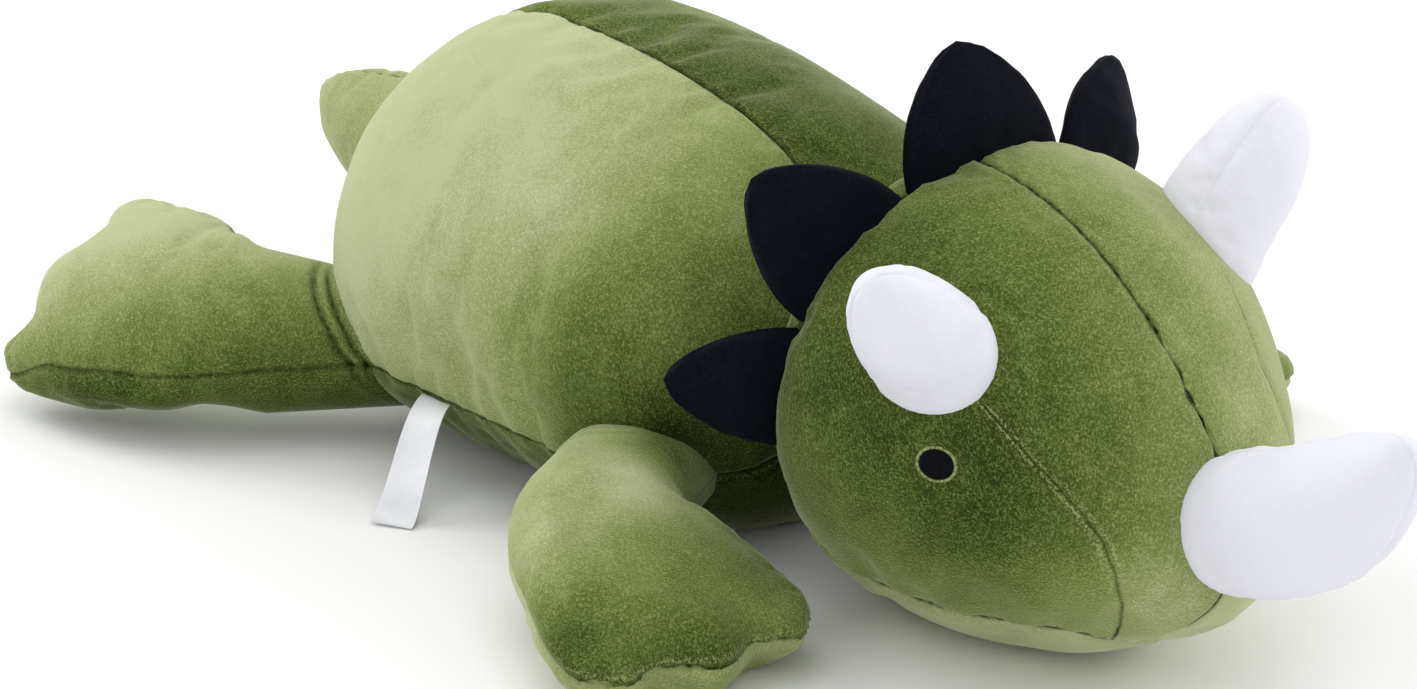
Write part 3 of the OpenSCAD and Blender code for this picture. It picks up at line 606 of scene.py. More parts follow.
# x and angle of its seam on the body, heading, length, half width, drop to the toes, roll, slant of the toes, and the
# share of its length where it has its full width
Foot = namedtuple("Foot", "seam_x seam_angle heading length half_width drop roll slant full_at")
FRONT = Foot(78, 107, -8, 129, 55, 25, 0, 0, 0.75)
HIND = Foot(-140, 101, 11 - 180, 148, 56, 0, -39, 0.08, 0.55)
# Left feet are mirror images, and the left front one points outwards
FEET = {
    "foot_front_right": FRONT,
    "foot_front_left": FRONT._replace(heading=-106),
    "foot_hind_right": HIND,
    "foot_hind_left": HIND,
}


def foot_root(f):
    return body_at(f.seam_x, -f.seam_angle) + body_normal(f.seam_x, -f.seam_angle) * FOOT_KNUCKLE


def foot_start(f):
    n = body_normal(f.seam_x, -f.seam_angle)
    return math.degrees(math.atan2(n[1], n[0]))


def mirror_of(name):
    return np.array([1, -1 if "left" in name else 1, 1])


def foot_frame(name):
    """A foot's root and its heading out of the body."""
    a = foot_start(FEET[name])
    return foot_root(FEET[name]) * mirror_of(name), np.array([cosd(a), sind(a), 0]) * mirror_of(name)


def foot_line(f, x):
    """Points and headings on a foot's centre line: out of the body, round a bend, then straight."""
    a = foot_start(f)
    turn, bend = f.heading - a, BEND_SHARE * f.length
    t = a + turn * np.clip(x / bend, 0, 1)
    r = bend / math.radians(turn)
    past = np.maximum(0, x - bend) + np.minimum(0, x)
    return r * (sind(t) - sind(a)) + past * cosd(t), r * (cosd(a) - cosd(t)) + past * sind(t), t


def foot_surface(f, x, t, side):
    u = np.maximum(0, x) / f.length
    toe = 0.5 + 0.5 * cosd(360 * t)
    notch = TOE_NOTCH * (1 - toe) + TOE_ROUND * t**6
    cut = notch * fade_in(u, *TOES) + f.slant * (1 - t) / 2 * u
    px, py, turn = foot_line(f, np.where(x > 0, x * (1 - cut), x))
    width = mix(FOOT_NECK, f.half_width, smooth(u / f.full_at))
    width = width * (1 - NARROWING * fade_in(u, *NARROW))
    half = mix(FOOT_KNUCKLE, FOOT_THICK, smooth(u * 2)) * np.sqrt(np.maximum(0, 1 - u**5))
    rise = side * half * np.sqrt(np.maximum(0, 1 - np.abs(t) ** EDGE_POWER))
    roll = f.roll * smooth(u * 3)
    flat_way = t * width * cosd(roll) - rise * sind(roll)
    up_way = t * width * sind(roll) + rise * cosd(roll)
    root = foot_root(f)
    z = np.maximum(0, root[2] - f.drop * smooth(u / FOOT_DOWN_AT) + up_way)
    return points_of(root[0] + px - sind(turn) * flat_way, root[1] + py + cosd(turn) * flat_way, z)


def hind_leg(grid, u, middle):
    """A hind leg sags and is packed fuller than its knuckle, and its sole is pressed flatter."""
    z = grid[..., 2]
    over, under = [size * (1 - fade_in(u, *fade)) for size, *fade in (LEG_OVER, LEG_UNDER)]
    high, low = np.clip((z - middle) / FOOT_KNUCKLE, 0, 1), np.clip((middle - z) / FOOT_KNUCKLE, 0, 1)
    grid[..., 2] = np.maximum(0, z + high * over - low * (under - bump(u, *LEG_PRESS)))


def seam_slide(u):
    """Share of half a section by which a hind foot's outer seam lies above its edge."""
    return SLIDE_RISE * smooth(u / SLIDE_RISE_OVER) + SLIDE_ROOT - SLIDE_FALL * fade_in(u, *TOES)


def foot_form(name):
    """Rows run from the seam on the body to the toes. The first ones are set on the body later."""
    f = FEET[name]
    toward_toes = 1 - steps(FOOT_ROWS - ROOT_ROWS, 1, 0) ** TOE_EASE
    root_rows = steps(ROOT_ROWS, ROOT_FROM, ROOT_TO)[:-1]
    x = np.concatenate([root_rows, mix(ROOT_TO, f.length, toward_toes)])[:, None]
    q = steps(FOOT_COLUMNS)[None, :]
    u = np.maximum(0, x) / f.length
    slide = seam_slide(u) if f is HIND else 0 * u
    panels, over = [], []
    for word, part in (("top", q * (1 - slide)), ("sole", 2 - q * (1 + slide))):
        t = -cosd(180 * part)
        grid = foot_surface(f, x, t, np.where(part < 1, 1, -1))
        if f is HIND:
            hind_leg(grid, u, foot_root(f)[2])
        panels.append((f"{name}_{word}", grid * mirror_of(name), START_OPEN))
        over.append(t)
    form = Form(name, panels)
    form.along, form.over = np.zeros(len(form.points)), np.zeros(len(form.points))
    for g, t in zip(form.grids, over):
        form.along[g] = u
        form.over[g] = t[:, ::-1] if form.flipped else t
    return form


def round_toes(form, p):
    """Rounds the two outer corners of a foot, seen from above."""
    f = FEET[form.name]
    a = TOE_CORNER - (1 - form.along) * f.length
    b = TOE_CORNER - (1 - np.abs(form.over)) * f.half_width
    made = p.copy()
    for side in SIDES.values():
        here = form.over * side > 0
        marks = ((0, 0), (TOE_CORNER, 0), (0, TOE_CORNER))
        centre, toe, edge = [p[here & (np.abs(a - i) < 2) & (np.abs(b - j) < 2)].mean(0) for i, j in marks]
        corner = here & (a > 0) & (b > 0)
        m, n = a[corner] / TOE_CORNER, b[corner] / TOE_CORNER
        made[corner] += (m * (np.sqrt(1 - n**2 / 2) - 1))[:, None] * (toe - centre)
        made[corner] += (n * (np.sqrt(1 - m**2 / 2) - 1))[:, None] * (edge - centre)
    return made


# Tail


def tail_surface(v, turn):
    r = TAIL_RADIUS * (1 - v**TAIL_TAPER) ** TAIL_BLUNT
    back = -mix(TAIL_SET_BACK, TAIL_LENGTH, v)
    root = np.array([-BODY_REAR + TAIL_GAP, 0, TAIL_HEIGHT])
    return root + points_of(back, r * sind(turn), r * cosd(turn) + TAIL_RISE * v * v)


def build_forms():
    tail = two_halves("tail", SIDES, TAIL_ROWS, TAIL_COLUMNS, tail_surface)
    made = [body_form(), head_form(), tail, *horn_forms()]
    made += [spike_form(name, k) for name, k in SPIKES.items()]
    made += [foot_form(name) for name in FEET]
    return {f.name: f for f in made}


# Cloth


def swell_object(form, used):
    """A form at half its resolution as cloth under pressure, held along its panels' sides."""
    place = np.full(len(form.points), -1)
    place[used] = np.arange(len(used))
    mesh = bpy.data.meshes.new("swell")
    mesh.from_pydata((form.points[used] * MM).tolist(), [], faces_of(place[form.quads(2)]))
    obj = added("swell", mesh)
    sides = [side for g in form.grids for side in (g[0, ::2], g[-1, ::2], g[::2, 0], g[::2, -1])]
    obj.vertex_groups.new(name="held").add(np.unique(place[np.concatenate(sides)]).tolist(), 1.0, "REPLACE")
    cloth = obj.modifiers.new("cloth", "CLOTH")
    for name, value in SIM_SETTINGS.items():
        setattr(cloth.settings, name, value)
    cloth.settings.effector_weights.gravity = 0
    cloth.point_cache.frame_start = 1
    cloth.point_cache.frame_end = SIM_FRAMES
    return obj


def simulate(forms):
    """Swells every form and spreads the result over all its points."""
    scene = bpy.context.scene
    for form in forms.values():
        used = np.unique(np.concatenate([g[::2, ::2].ravel() for g in form.grids]))
        obj = swell_object(form, used)
        for n in range(1, SIM_FRAMES + 1):
            scene.frame_set(n)
        moved = obj.evaluated_get(bpy.context.evaluated_depsgraph_get()).to_mesh()
        co = np.zeros(len(used) * 3, np.float32)
        moved.vertices.foreach_get("co", co)
        shift = np.zeros_like(form.points)
        shift[used] = co.reshape(-1, 3) / MM - form.points[used]
        size = np.linalg.norm(shift, axis=1, keepdims=True) + 1e-9
        limit = SWELL_LIMIT[form.name.split("_")[0]]
        shift *= limit * np.tanh(size / limit) / size
        spread(form, shift)
        bpy.data.objects.remove(obj)
    scene.frame_set(1)


def spread(form, shift):
    """Moves the points by the shifts of every second row and column, and by means in between."""
    for g in form.grids:
        s = shift[g]
        s[1::2, ::2] = (s[:-1:2, ::2] + s[2::2, ::2]) / 2
        s[:, 1::2] = (s[:, :-1:2] + s[:, 2::2]) / 2
        shift[g] = s
    form.points += shift


# Details along the normals


def waves(p, height, scale, seed):
    """A smooth random field of about the given height, with bumps of about the given size."""
    rng = np.random.default_rng(seed)
    made = np.zeros(len(p))
    for _ in range(9):
        k = rng.normal(size=3)
        k *= rng.uniform(0.6, 1.4) * 2 * math.pi / (scale * 2) / np.linalg.norm(k)
        made += np.sin(p @ k + rng.uniform(0, 2 * math.pi))
    return height * (made / 4.5)


def seam_mark(far, line=1.0, lip=SEAM_LIP):
    """Dark in a seam, and pale on its two raised edges."""
    return line * hump(far, SEAM_LINE) - bump(far, lip, LIP_AT, LIP_WIDTH)


def head_detail(form, far, sink, mark):
    """Adds the cheek seams, which are darkest low on the head, and the dents round the eyes."""
    p, d = form.points, form.cheek_distance()
    sink = np.maximum(sink, CHEEK_DEPTH * hump(d, SEAM_WIDTH))
    low = smooth((CHEEK_DARK_BELOW - p[:, 2]) / CHEEK_DARK_OVER)
    mark = np.where(d < far, seam_mark(d, mix(CHEEK_LINE, 1, low), mix(CHEEK_LIP, SEAM_LIP, low)), mark)
    for side in SIDES.values():
        eye = np.linalg.norm(p - head_at(EYE_BACK, side * EYE_ROUND), axis=1)
        sink = sink + EYE_DEPTH * hump(eye, EYE_SPREAD)
    return sink, mark


def foot_detail(form, far, sink, pucker):
    """Adds the roped seam round the toes and the creases between them."""
    toes = fade_in(form.along, *TOE_DETAIL)
    over = np.abs(form.over)
    pucker = pucker + waves(form.points, *ROPE) * hump(far, ROPE_REACH) * toes
    sink = sink * mix(FOOT_SINK, 1, toes) + bump(over, *TOE_CREASE) * toes
    corner = fade_in(over, *TOE_SIDE) * fade_in(form.along, *TOE_END)
    line = mix(FOOT_LINE[form.name.split("_")[1]], TOE_LINE, toes) * (1 - corner)
    return sink, pucker, seam_mark(far, line, mix(FOOT_LIP, TOE_LIP, toes))


def detail(form):
    """Sinks the seams and eyes and puckers the fabric beside them. Marks points: 1 in a seam, below 0 beside it."""
    far, normal, p = form.seam_distance(), form.normals(), form.points
    horn = "horn" in form.name
    depth = SEAM_DEPTH * (SMALL_SEAM if horn or form.name.startswith("frill") else 1)
    sink = depth * hump(far, SEAM_WIDTH)
    mark = seam_mark(far)
    pucker = waves(p, *PUCKER) * hump(far, PUCKER_REACH) * (1 - hump(far, PUCKER_FROM))
    lump = sum(waves(p, *lumps) for lumps in LUMPS)
    if horn:
        lump, pucker, mark = HORN_CALM * lump, HORN_CALM * pucker, HORN_SEAM * mark
    if form.name == "head":
        sink, mark = head_detail(form, far, sink, mark)
    if form.name in FEET:
        sink, pucker, mark = foot_detail(form, far, sink, pucker)
        p = round_toes(form, p)
    form.points = p + normal * (lump * np.clip(far / LUMPS_FROM, 0, 1) + pucker - sink)[:, None]
    form.mark = mark


# Seats on the body and the head


def lay(form, lines, tree, sink, done):
    """Lays the first point of each line on the surface that carries it, and fades that along the line."""
    shifts = []
    for line in lines:
        p = form.points[line[0]]
        spot, normal, _, _ = tree.find_nearest(Vector(p))
        shifts.append(np.array(spot - normal * sink) - p)
    for line, shift in zip(lines, shifts):
        for r, i in enumerate(line):
            if i not in done:
                form.points[i] += shift * (1 - smooth(r / len(line)))
                done.add(i)


def seat_spike(form, tree):
    """A spike's rows run out from its base, which is its first column or its last."""
    done = set()
    for g in form.grids:
        base_first = np.linalg.norm(form.points[g[0, 0]] - form.points[g[-1, 0]]) > 1
        out = g if base_first else g[:, ::-1]
        lay(form, out[:, :SPIKE_SEAT_ROWS], tree, SPIKE_SINK, done)


def run_back(form, rows, tree, way, far):
    """Runs a form's first rows straight to the surface that carries it, and gives its points' distances from there.
    Way gives the direction from a point."""
    p = form.points
    reach = np.full(len(p), form.FAR)
    shares = np.arange(rows)[:, None] / rows
    for g in form.grids:
        for line in g[: rows + 1].T:
            start = p[line[-1]]
            hit, normal, _, _ = tree.ray_cast(Vector(start), way(start), far)
            if hit is None:
                hit, normal, _, _ = tree.find_nearest(Vector(start))
            end = np.array(hit) - np.array(normal) * ROOT_SINK
            reach[line] = steps(rows, 0, np.linalg.norm(start - end))
            p[line[:-1]] = mix(end, start, shares)
    return reach


def smooth_root(form):
    """Evens out a foot's sections where it leaves the body."""
    p = form.points
    top, sole = form.grids
    for r in range(ROOT_ROWS, ROOT_ROWS + EVEN_ROWS):
        ring = np.concatenate([top[r], sole[r][1:-1] if top[r][-1] == sole[r][0] else sole[r][-2:0:-1]])
        even = p[ring]
        for _ in range(EVEN_ROUNDS):
            even = (even + (np.roll(even, 1, 0) + np.roll(even, -1, 0)) / 2) / 2
        p[ring] = mix(even, p[ring], fade_in(r, ROOT_ROWS, EVEN_ROWS))


def seat_foot(form, tree):
    """Runs a foot's first rows back to the body, with crescent folds on its outside. A hind one slopes down there."""
    smooth_root(form)
    hind = "hind" in form.name
    heading = foot_frame(form.name)[1]
    middle = form.points[form.along == 0].mean(0)

    def back(start):
        slope = LEG_SLOPE * np.clip((start[2] - middle[2]) / FOOT_KNUCKLE, 0, 1) if hind else 0
        return Vector((-heading[0], -heading[1], -slope)).normalized()

    reach = run_back(form, ROOT_ROWS, tree, back, FOOT_SEARCH)
    fold_root(form, reach, heading, 1 if hind else FRONT_FOLD)


def fold_root(form, reach, heading, strength):
    """Presses folds into a foot beside the body, with painted shade in them and painted highlights beside them. Reach
    is each point's distance from the body.
    """
    p = form.points
    outward = unit(np.array([0, SIDES[form.name.split("_")[2]], FOLD_LIFT]))
    across = p - p[reach < form.FAR].mean(0)
    across -= (across @ heading)[:, None] * heading
    facing = np.clip(unit(across + 1e-9) @ outward, 0, 1)
    shown = smooth(facing * FOLD_SHOWN) * strength
    fold = np.zeros(len(p))
    for start, swing, depth in FOLDS:
        past = reach - start - swing * facing
        fold += shown * (bump(past, *FOLD_SWELL) - depth * hump(past, FOLD_WIDTH))
        # Painted shade in each fold and a painted highlight beside it
        form.mark += shown * (bump(past, *FOLD_SHADE) - bump(past, *FOLD_HIGHLIGHT))
    form.points = p + form.normals() * fold[:, None]


def seat_tail(form, tree):
    """Runs the tail's first rows forward to the rump, with two soft folds round its base."""
    run_back(form, TAIL_SEAT_ROWS, tree, lambda start: Vector((1, 0, -TAIL_SLOPE)), TAIL_SEARCH)
    p = form.points
    away = -p[:, 0] - BODY_REAR
    fade = hump(away - TAIL_FOLD_AT, TAIL_FOLD_REACH)
    bend = away + TAIL_FOLD_SWAY * np.sin(np.arctan2(p[:, 1], p[:, 2] - TAIL_HEIGHT) * 2)
    fold = TAIL_FOLD * np.cos(bend / TAIL_FOLD_STEP * 2 * math.pi) * fade
    form.points = p + form.normals() * fold[:, None]


def seat_forms(forms, body, head):
    for name, form in forms.items():
        if name == "tail":
            seat_tail(form, body)
        elif name in FEET:
            seat_foot(form, body)
        elif name in SPIKES:
            seat_spike(form, head)
        elif "horn" in name:
            for g in form.grids:
                lay(form, g[:HORN_SEAT_ROWS].T, head, HORN_SINK, set())


# Materials


class Material:
    """A material's shader, and short calls for the nodes that feed it."""

    def __init__(self, name):
        self.made = bpy.data.materials.new(name)
        self.made.use_nodes = True
        self.nodes, self.links = self.made.node_tree.nodes, self.made.node_tree.links
        self.coords = self.nodes.new("ShaderNodeTexCoord").outputs["Object"]

    def feed(self, node, inputs):
        """Links sockets to a node's inputs, and sets the inputs that are given as values."""
        for key, value in inputs.items():
            if isinstance(value, bpy.types.NodeSocket):
                self.links.new(value, node.inputs[key])
            else:
                node.inputs[key].default_value = value
        return node

    def new(self, kind, inputs):
        return self.feed(self.nodes.new("ShaderNode" + kind), inputs)

    def noise(self, scale, detail_level, distortion=0.0, coords=None):
        coords = self.coords if coords is None else coords
        inputs = {"Vector": coords, "Scale": scale, "Detail": detail_level, "Distortion": distortion}
        return self.new("TexNoise", inputs).outputs["Fac"]

    def along_pile(self, step):
        """Coordinates drawn out along the hanging pile and moved a step up it."""
        inputs = {"Vector": self.coords, "Scale": PILE_DRAWN, "Location": (step, -step, step)}
        return self.new("Mapping", inputs).outputs["Vector"]

    def field(self, name):
        n = self.nodes.new("ShaderNodeAttribute")
        n.attribute_name = name
        return n.outputs["Fac"]

    def math(self, operation, a, b, clamp=False):
        n = self.new("Math", {0: a, 1: b})
        n.operation, n.use_clamp = operation, clamp
        return n.outputs[0]

    def weighted(self, a, share_a, b, share_b):
        return self.math("ADD", self.math("MULTIPLY", a, share_a), self.math("MULTIPLY", b, share_b))

    def ramp(self, value, stops):
        n = self.new("ValToRGB", {"Fac": value})
        while len(n.color_ramp.elements) < len(stops):
            n.color_ramp.elements.new(0.5)
        for element, (position, color) in zip(n.color_ramp.elements, stops):
            element.position, element.color = position, (*color, 1)
        return n.outputs["Color"]

    def mixed(self, share, a, b):
        n = self.nodes.new("ShaderNodeMix")
        n.data_type = "RGBA"
        spots = {i.name: k for k, i in enumerate(n.inputs) if i.type == "RGBA"}
        self.feed(n, {"Factor": share, spots["A"]: a, spots["B"]: (*b, 1) if isinstance(b, tuple) else b})
        return next(o for o in n.outputs if o.type == "RGBA")

    def finished(self, inputs, height=None, strength=0.0, distance=0.0):
        """Sets the shader, with a relief where a height is given."""
        if height is not None:
            relief = self.new("Bump", {"Height": height, "Strength": strength, "Distance": distance})
            inputs = {**inputs, "Normal": relief.outputs["Normal"]}
        self.feed(self.nodes["Principled BSDF"], inputs)
        return self.made


def plush(name, tones, seam_shade, sheen=0.5, sheen_tint=(1, 1, 1), depth=0.0006):
    """Short pile. Its tone follows painted light and shade, held in the lay attribute, soft brushed patches, and the
    tips of its fine grain, which are partly its own speckle and partly painted light and shade on its relief, and show
    less where the pile is pale."""
    m = Material(name)
    patch = m.noise(PATCH_SCALE, 2, 1.0)
    streak = m.noise(STREAK_SCALE, 1.5, 0.8, m.along_pile(0))
    # The grain: its tips less the same tips a step along the pile, partly its own speckle and partly painted light and
    # shade on its relief
    tips = m.noise(GRAIN_SCALE, 1, 0.3, m.along_pile(0))
    shadow_side = m.noise(GRAIN_SCALE, 1, 0.3, m.along_pile(PILE_STEP))
    pile = m.math("ADD", m.math("SUBTRACT", tips, shadow_side), 0.5)
    brushed = m.math("SUBTRACT", m.weighted(patch, 0.4, streak, 0.6), 0.5)
    # The lay attribute holds the painted light and shade
    tone = m.weighted(m.field("lay"), 1, brushed, 2 * PILE_PATCHY)
    rough = m.math("SUBTRACT", GRAIN_DARK, m.math("MULTIPLY", tone, GRAIN_FADE), True)
    speck = m.math("MULTIPLY", m.math("SUBTRACT", pile, 0.5), PILE_CONTRAST)
    speck = m.math("MAXIMUM", speck, PILE_DARKEST)
    tone = m.math("ADD", tone, m.math("MULTIPLY", speck, rough))
    color = m.ramp(tone, list(zip(np.linspace(0, 1, len(tones)), tones)))
    shade = m.field("shade")
    # Dark in the seams, and painted shade in the folds at the feet's roots
    seam_and_fold_shade = m.math("MULTIPLY", shade, m.weighted(m.noise(STITCH_SCALE, 1), 1.6, 0.1, 1))
    color = m.mixed(m.math("MULTIPLY", seam_and_fold_shade, 1, True), color, seam_shade)
    tufts = m.new("MapRange", {"Value": pile, "From Min": 0.4, "From Max": 0.6}).outputs["Result"]
    # Pale on the seams' lips, and painted highlights beside the folds
    raised = m.math("MULTIPLY", shade, tufts)
    color = m.mixed(m.math("MULTIPLY", raised, -1, True), color, tones[-2])
    look = {
        "Base Color": color,
        "Roughness": 0.95,
        "Specular IOR Level": 0.1,
        "Sheen Weight": sheen,
        "Sheen Roughness": SHEEN_ROUGHNESS,
        "Sheen Tint": (*sheen_tint, 1),
    }
    return m.finished(look, pile, 0.5, depth)


def satin(name):
    """White ribbon: fine weave across it and a soft gloss."""
    m = Material(name)
    weave = m.new("TexWave", {"Vector": m.coords, "Scale": 900, "Distortion": 0.6}).outputs["Fac"]
    color = m.ramp(m.noise(60, 3), [(0.3, (0.68, 0.69, 0.74)), (0.7, (0.82, 0.83, 0.87))])
    return m.finished({"Base Color": color, "Roughness": 0.38, "Sheen Weight": 0.2}, weave, 0.15, 0.0002)


def thread(name):
    """Black embroidery thread, and the pale pressed pile round it."""
    m = Material(name)
    black = m.ramp(m.noise(2600, 2), [(0.3, (0.001, 0.0012, 0.0018)), (0.75, (0.007, 0.008, 0.011))])
    pale = m.ramp(m.noise(900, 2), [(0.35, GREEN[2]), (0.6, GREEN[4])])
    color = m.mixed(m.field("rim"), black, pale)
    return m.finished({"Base Color": color, "Roughness": 0.7, "Specular IOR Level": 0.06})


def floor_material(name):
    m = Material(name)
    color = m.ramp(m.noise(3, 2), [(0.3, (0.90, 0.90, 0.90)), (0.7, (0.93, 0.93, 0.93))])
    return m.finished({"Base Color": color, "Roughness": 0.9, "Specular IOR Level": 0.1})


# Pieces


def mesh_object(name, points, faces, mat, **fields):
    mesh = bpy.data.meshes.new(name)
    mesh.from_pydata((np.asarray(points) * MM).tolist(), [], faces)
    mesh.validate()
    mesh.shade_smooth()
    for field, values in fields.items():
        attribute = mesh.attributes.new(field, "FLOAT", "POINT")
        attribute.data.foreach_set("value", np.asarray(values, np.float32))
    obj = added(name, mesh)
    obj.data.materials.append(mat)
    return obj


def grid_faces(rows, columns):
    return quads_of(np.arange(rows * columns).reshape(rows, columns)).tolist()


def painted_light_tone(name, points, sole):
    """Painted light and shade in the pile's tone over a panel. Left feet are mirror images of the right ones."""
    mirror = mirror_of(name) if name.startswith("foot") else np.ones(3)
    for start, (middle, *slope) in PAINTED_LIGHT_TONE.items():
        if name.startswith(start):
            tone = middle + points * mirror / 100 @ np.array(slope) + SOLE_PAINTED_LIGHT.get(start, 0) * sole
            # Spots of painted light and shade
            for spot, radius, change in PAINTED_LIGHT_SPOTS:
                tone += change * np.exp(-((points - spot) ** 2).sum(1) / radius**2)
            return np.clip(tone, 0, PALEST.get(start, 1))
    return np.full(len(points), PLAIN_LAY)


def panel_object(form, k, mat):
    """The mesh of one panel, which shares its sewn edges with its neighbours."""
    name, g = form.names[k], form.grids[k]
    used, local = np.unique(g, return_inverse=True)
    points = form.points[used].copy()
    points[:, 2] = np.maximum(points[:, 2], FLOOR_CLEAR)
    sole = fade_in(form.along[used], *SOLE_AT) if name.endswith("sole") else 0
    faces = faces_of(quads_of(local.reshape(g.shape)))
    # Painted light and shade, kept in the lay attribute
    tone = painted_light_tone(name, points, sole)
    return mesh_object("plush_" + name, points, faces, mat, shade=form.mark[used], lay=tone)


def eye_object(word, tree, mat):
    """An oval of satin stitches that follows the sunk cheek, with a rim of pressed pile round it."""
    spot, normal, _, _ = tree.find_nearest(Vector(head_at(EYE_BACK, SIDES[word] * EYE_ROUND)))
    spot, normal = np.array(spot), np.array(normal)
    along = unit(np.cross([0, 0, 1], normal))
    up = np.cross(normal, along)
    points, rims = [], []
    for v in np.linspace(-1, 1, EYE_ROWS) * EYE_RIM:
        for u in np.linspace(-1, 1, EYE_COLUMNS) * EYE_RIM:
            # A square is turned into a disc, so that the strands end on the oval's edge
            a = u * math.sqrt(1 - (v / EYE_RIM) ** 2 / 2)
            b = v * math.sqrt(1 - (u / EYE_RIM) ** 2 / 2)
            p = spot + along * a * EYE_LENGTH / 2 + up * b * EYE_HEIGHT / 2
            hit, n, _, _ = tree.find_nearest(Vector(p))
            inside = max(0.0, 1 - (a * a + b * b))
            outside = max(0.0, math.hypot(a, b) - 1) / (EYE_RIM - 1)
            ridge = abs(math.sin((u * 0.9 + v * 0.25) * EYE_STRANDS * math.pi / 2)) * min(1, inside * 6)
            lift = EYE_CROWN * inside**0.5 + EYE_RIDGE * ridge
            lift += EYE_RIM_RISE * math.sin(math.pi * min(1, outside)) - EYE_RIM_FALL * outside
            points.append(np.array(hit) + np.array(n) * (EYE_CLEAR + lift))
            rims.append(min(1.0, outside * 4))
    return mesh_object(f"embroidery_eye_{word}", points, grid_faces(EYE_ROWS, EYE_COLUMNS), mat, rim=rims)


def label_object(mat):
    """A folded ribbon out of the belly seam: it goes out, round a fold and back underneath. Also gives its root, its
    reach and its length."""
    root = body_at(-LABEL_X, -LABEL_SEAM) - body_normal(-LABEL_X, -LABEL_SEAM) * LABEL_SINK
    out = np.array([sind(LABEL_LEAN), -cosd(LABEL_LEAN), 0]) * LABEL_REACH
    line = steps(LABEL_STEPS)
    c = steps(LABEL_COLUMNS, -1, 1)
    w = c * LABEL_WIDTH / 2
    rows = []
    for layer, shares in ((1, line), (-1, line[::-1])):
        for v in shares:
            gap = LABEL_PLY * (0.4 + 1.2 * math.sin(math.pi * v) * (1 - v) + 0.6 * v * (1 - v))
            z = mix(root[2], LABEL_LOW, smooth(v * 0.75 + 0.25 * v * v)) + layer * gap
            z = z + LABEL_CURL * c * c * v * (1 - v) + LABEL_WAVE * np.sin(3 * v * math.pi + c) * v
            x = root[0] + out[0] * v + w * mix(1, cosd(LABEL_LEAN), v)
            y = root[1] + out[1] * v + w * sind(LABEL_LEAN) * v
            rows.append(points_of(x, y, np.maximum(LABEL_CLEAR, z)))
    points = np.array(rows)
    obj = mesh_object("ribbon_care_label", points.reshape(-1, 3), grid_faces(*points.shape[:2]), mat)
    length = np.linalg.norm(np.diff(points[:, LABEL_COLUMNS // 2], axis=0), axis=1).sum()
    return obj, root, out, float(length)


def place_piece(obj, part, name):
    """Ties the head's and horns' panels to the head's body, and leaves the other panels in place."""
    if part == "body":
        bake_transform(obj)
    elif name.startswith("head_back"):
        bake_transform(obj)
    elif part == "head" or "horn" in part:
        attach(obj, "head")
    elif part == "tail":
        root = np.array([-BODY_REAR, 0, TAIL_HEIGHT])
        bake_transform(obj)
    elif part in SPIKES:
        k = SPIKES[part]
        base = head_at(frill_back(k.turn), k.turn)
        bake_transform(obj)
    else:
        root, heading = foot_frame(part)
        base = root - heading * FOOT_KNUCKLE
        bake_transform(obj)


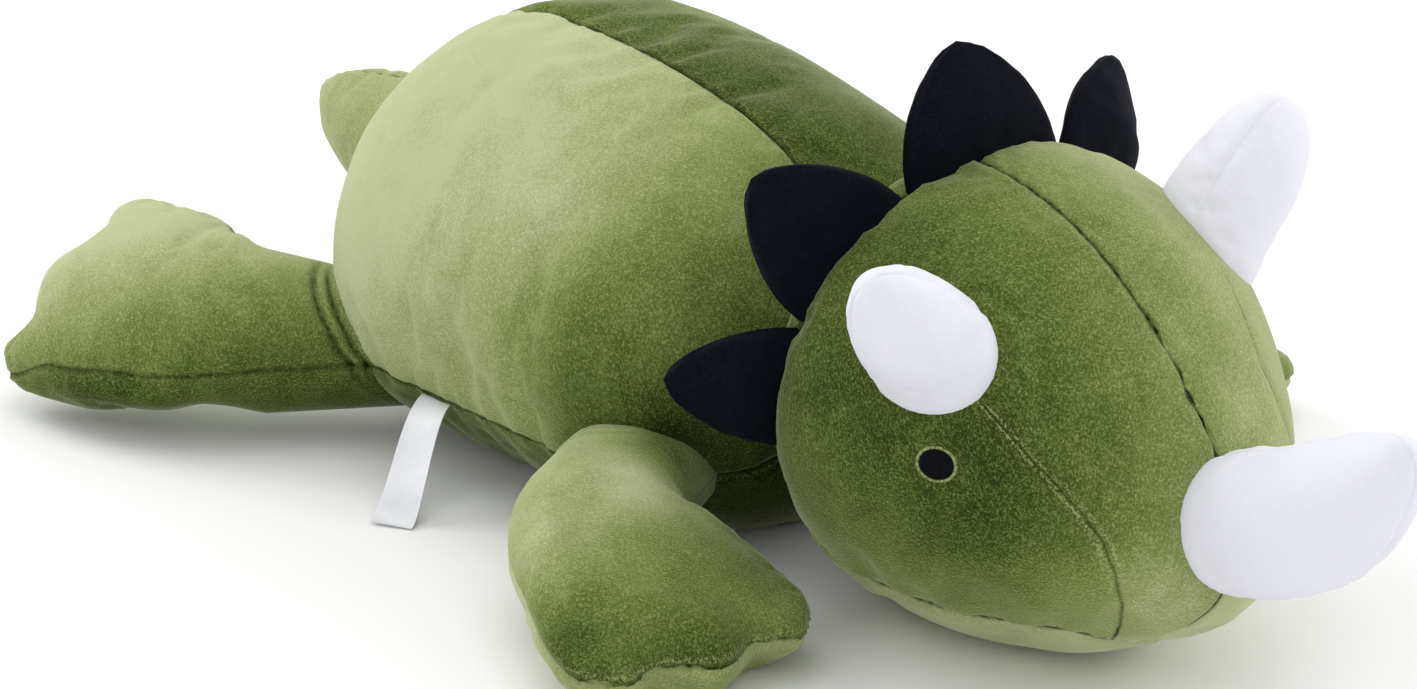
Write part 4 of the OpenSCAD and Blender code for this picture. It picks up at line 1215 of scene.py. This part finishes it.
def dress(forms):
    """Makes the panels, hides the solids that they replace, and ties the head's and horns' panels to the head's body.
    """
    green = plush("plush_green", GREEN, GREEN_SEAM_AND_FOLD_SHADE, sheen_tint=(0.95, 1, 0.7))
    navy = plush("plush_navy", NAVY, NAVY_SEAM, sheen=0.05, sheen_tint=(0.6, 0.7, 1))
    white = plush("plush_white", WHITE, WHITE_SEAM, sheen=0.05, depth=0.0002)
    for part, form in forms.items():
        for k, name in enumerate(form.names):
            if part in SPIKES:
                mat, slot = navy, "navy_plush"
            elif "horn" in part:
                mat, slot = white, "white_plush"
            elif name.endswith(("belly", "chin", "sole")):
                mat, slot = green, "dark_green_plush"
            else:
                mat, slot = green, "green_plush"
            obj = panel_object(form, k, mat)
            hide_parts(name + "_panel" if name in PANEL_NODES else name)
            place_piece(obj, part, name)
        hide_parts(part + "_stuffing")
    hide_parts("neck_body_collar", "neck_ball")
    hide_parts("neck_head_collar")


def add_eyes(tree):
    mat = thread("thread_black")
    for word in SIDES:
        eye = eye_object(word, tree, mat)
        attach(eye, "head")
        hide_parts("eye_" + word)


def add_label():
    label, root, out, length = label_object(satin("satin_white"))
    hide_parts("care_label")
    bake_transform(label)


# Floor, camera and light


def make_floor():
    s = FLOOR_SIZE
    corners = [(-s, -s, 0), (s, -s, 0), (s, s, 0), (-s, s, 0)]
    mesh_object("floor", corners, [(0, 1, 2, 3)], floor_material("pale_floor"))


def aimed(name, data, place, way):
    """Adds a camera or lamp at a place, looking along a way."""
    obj = added(name, data)
    obj.location = place
    obj.rotation_mode = "QUATERNION"
    obj.rotation_quaternion = way.to_track_quat("-Z", "Y")
    return obj


def make_camera():
    data = bpy.data.cameras.new("camera")
    data.sensor_fit = "HORIZONTAL"
    data.sensor_width = CAMERA_SENSOR
    data.lens = CAMERA_LENS
    flat = cosd(CAMERA_HEIGHT)
    back = Vector((sind(CAMERA_AZIMUTH) * flat, -cosd(CAMERA_AZIMUTH) * flat, sind(CAMERA_HEIGHT)))
    bpy.context.scene.camera = aimed("camera", data, CAMERA_TARGET + back * CAMERA_DISTANCE, -back)


def make_light():
    for name, (place, size, power) in LIGHTS.items():
        data = bpy.data.lights.new(name, "AREA")
        data.shape = "DISK"
        data.size = size
        data.energy = power
        aimed(name, data, place, LIGHT_AIM - Vector(place))
    world = bpy.data.worlds.new("studio")
    bpy.context.scene.world = world
    world.use_nodes = True
    background = world.node_tree.nodes["Background"].inputs
    background["Color"].default_value = (1, 1, 1, 1)
    background["Strength"].default_value = WORLD_LIGHT
    bpy.context.scene.view_settings.view_transform = "Standard"


def main():
    make_camera()
    make_light()
    make_floor()
    forms = build_forms()
    simulate(forms)
    for form in forms.values():
        detail(form)
    head = forms["head"].tree()
    seat_forms(forms, forms["body"].tree(), head)
    dress(forms)
    add_eyes(head)
    add_label()


main()
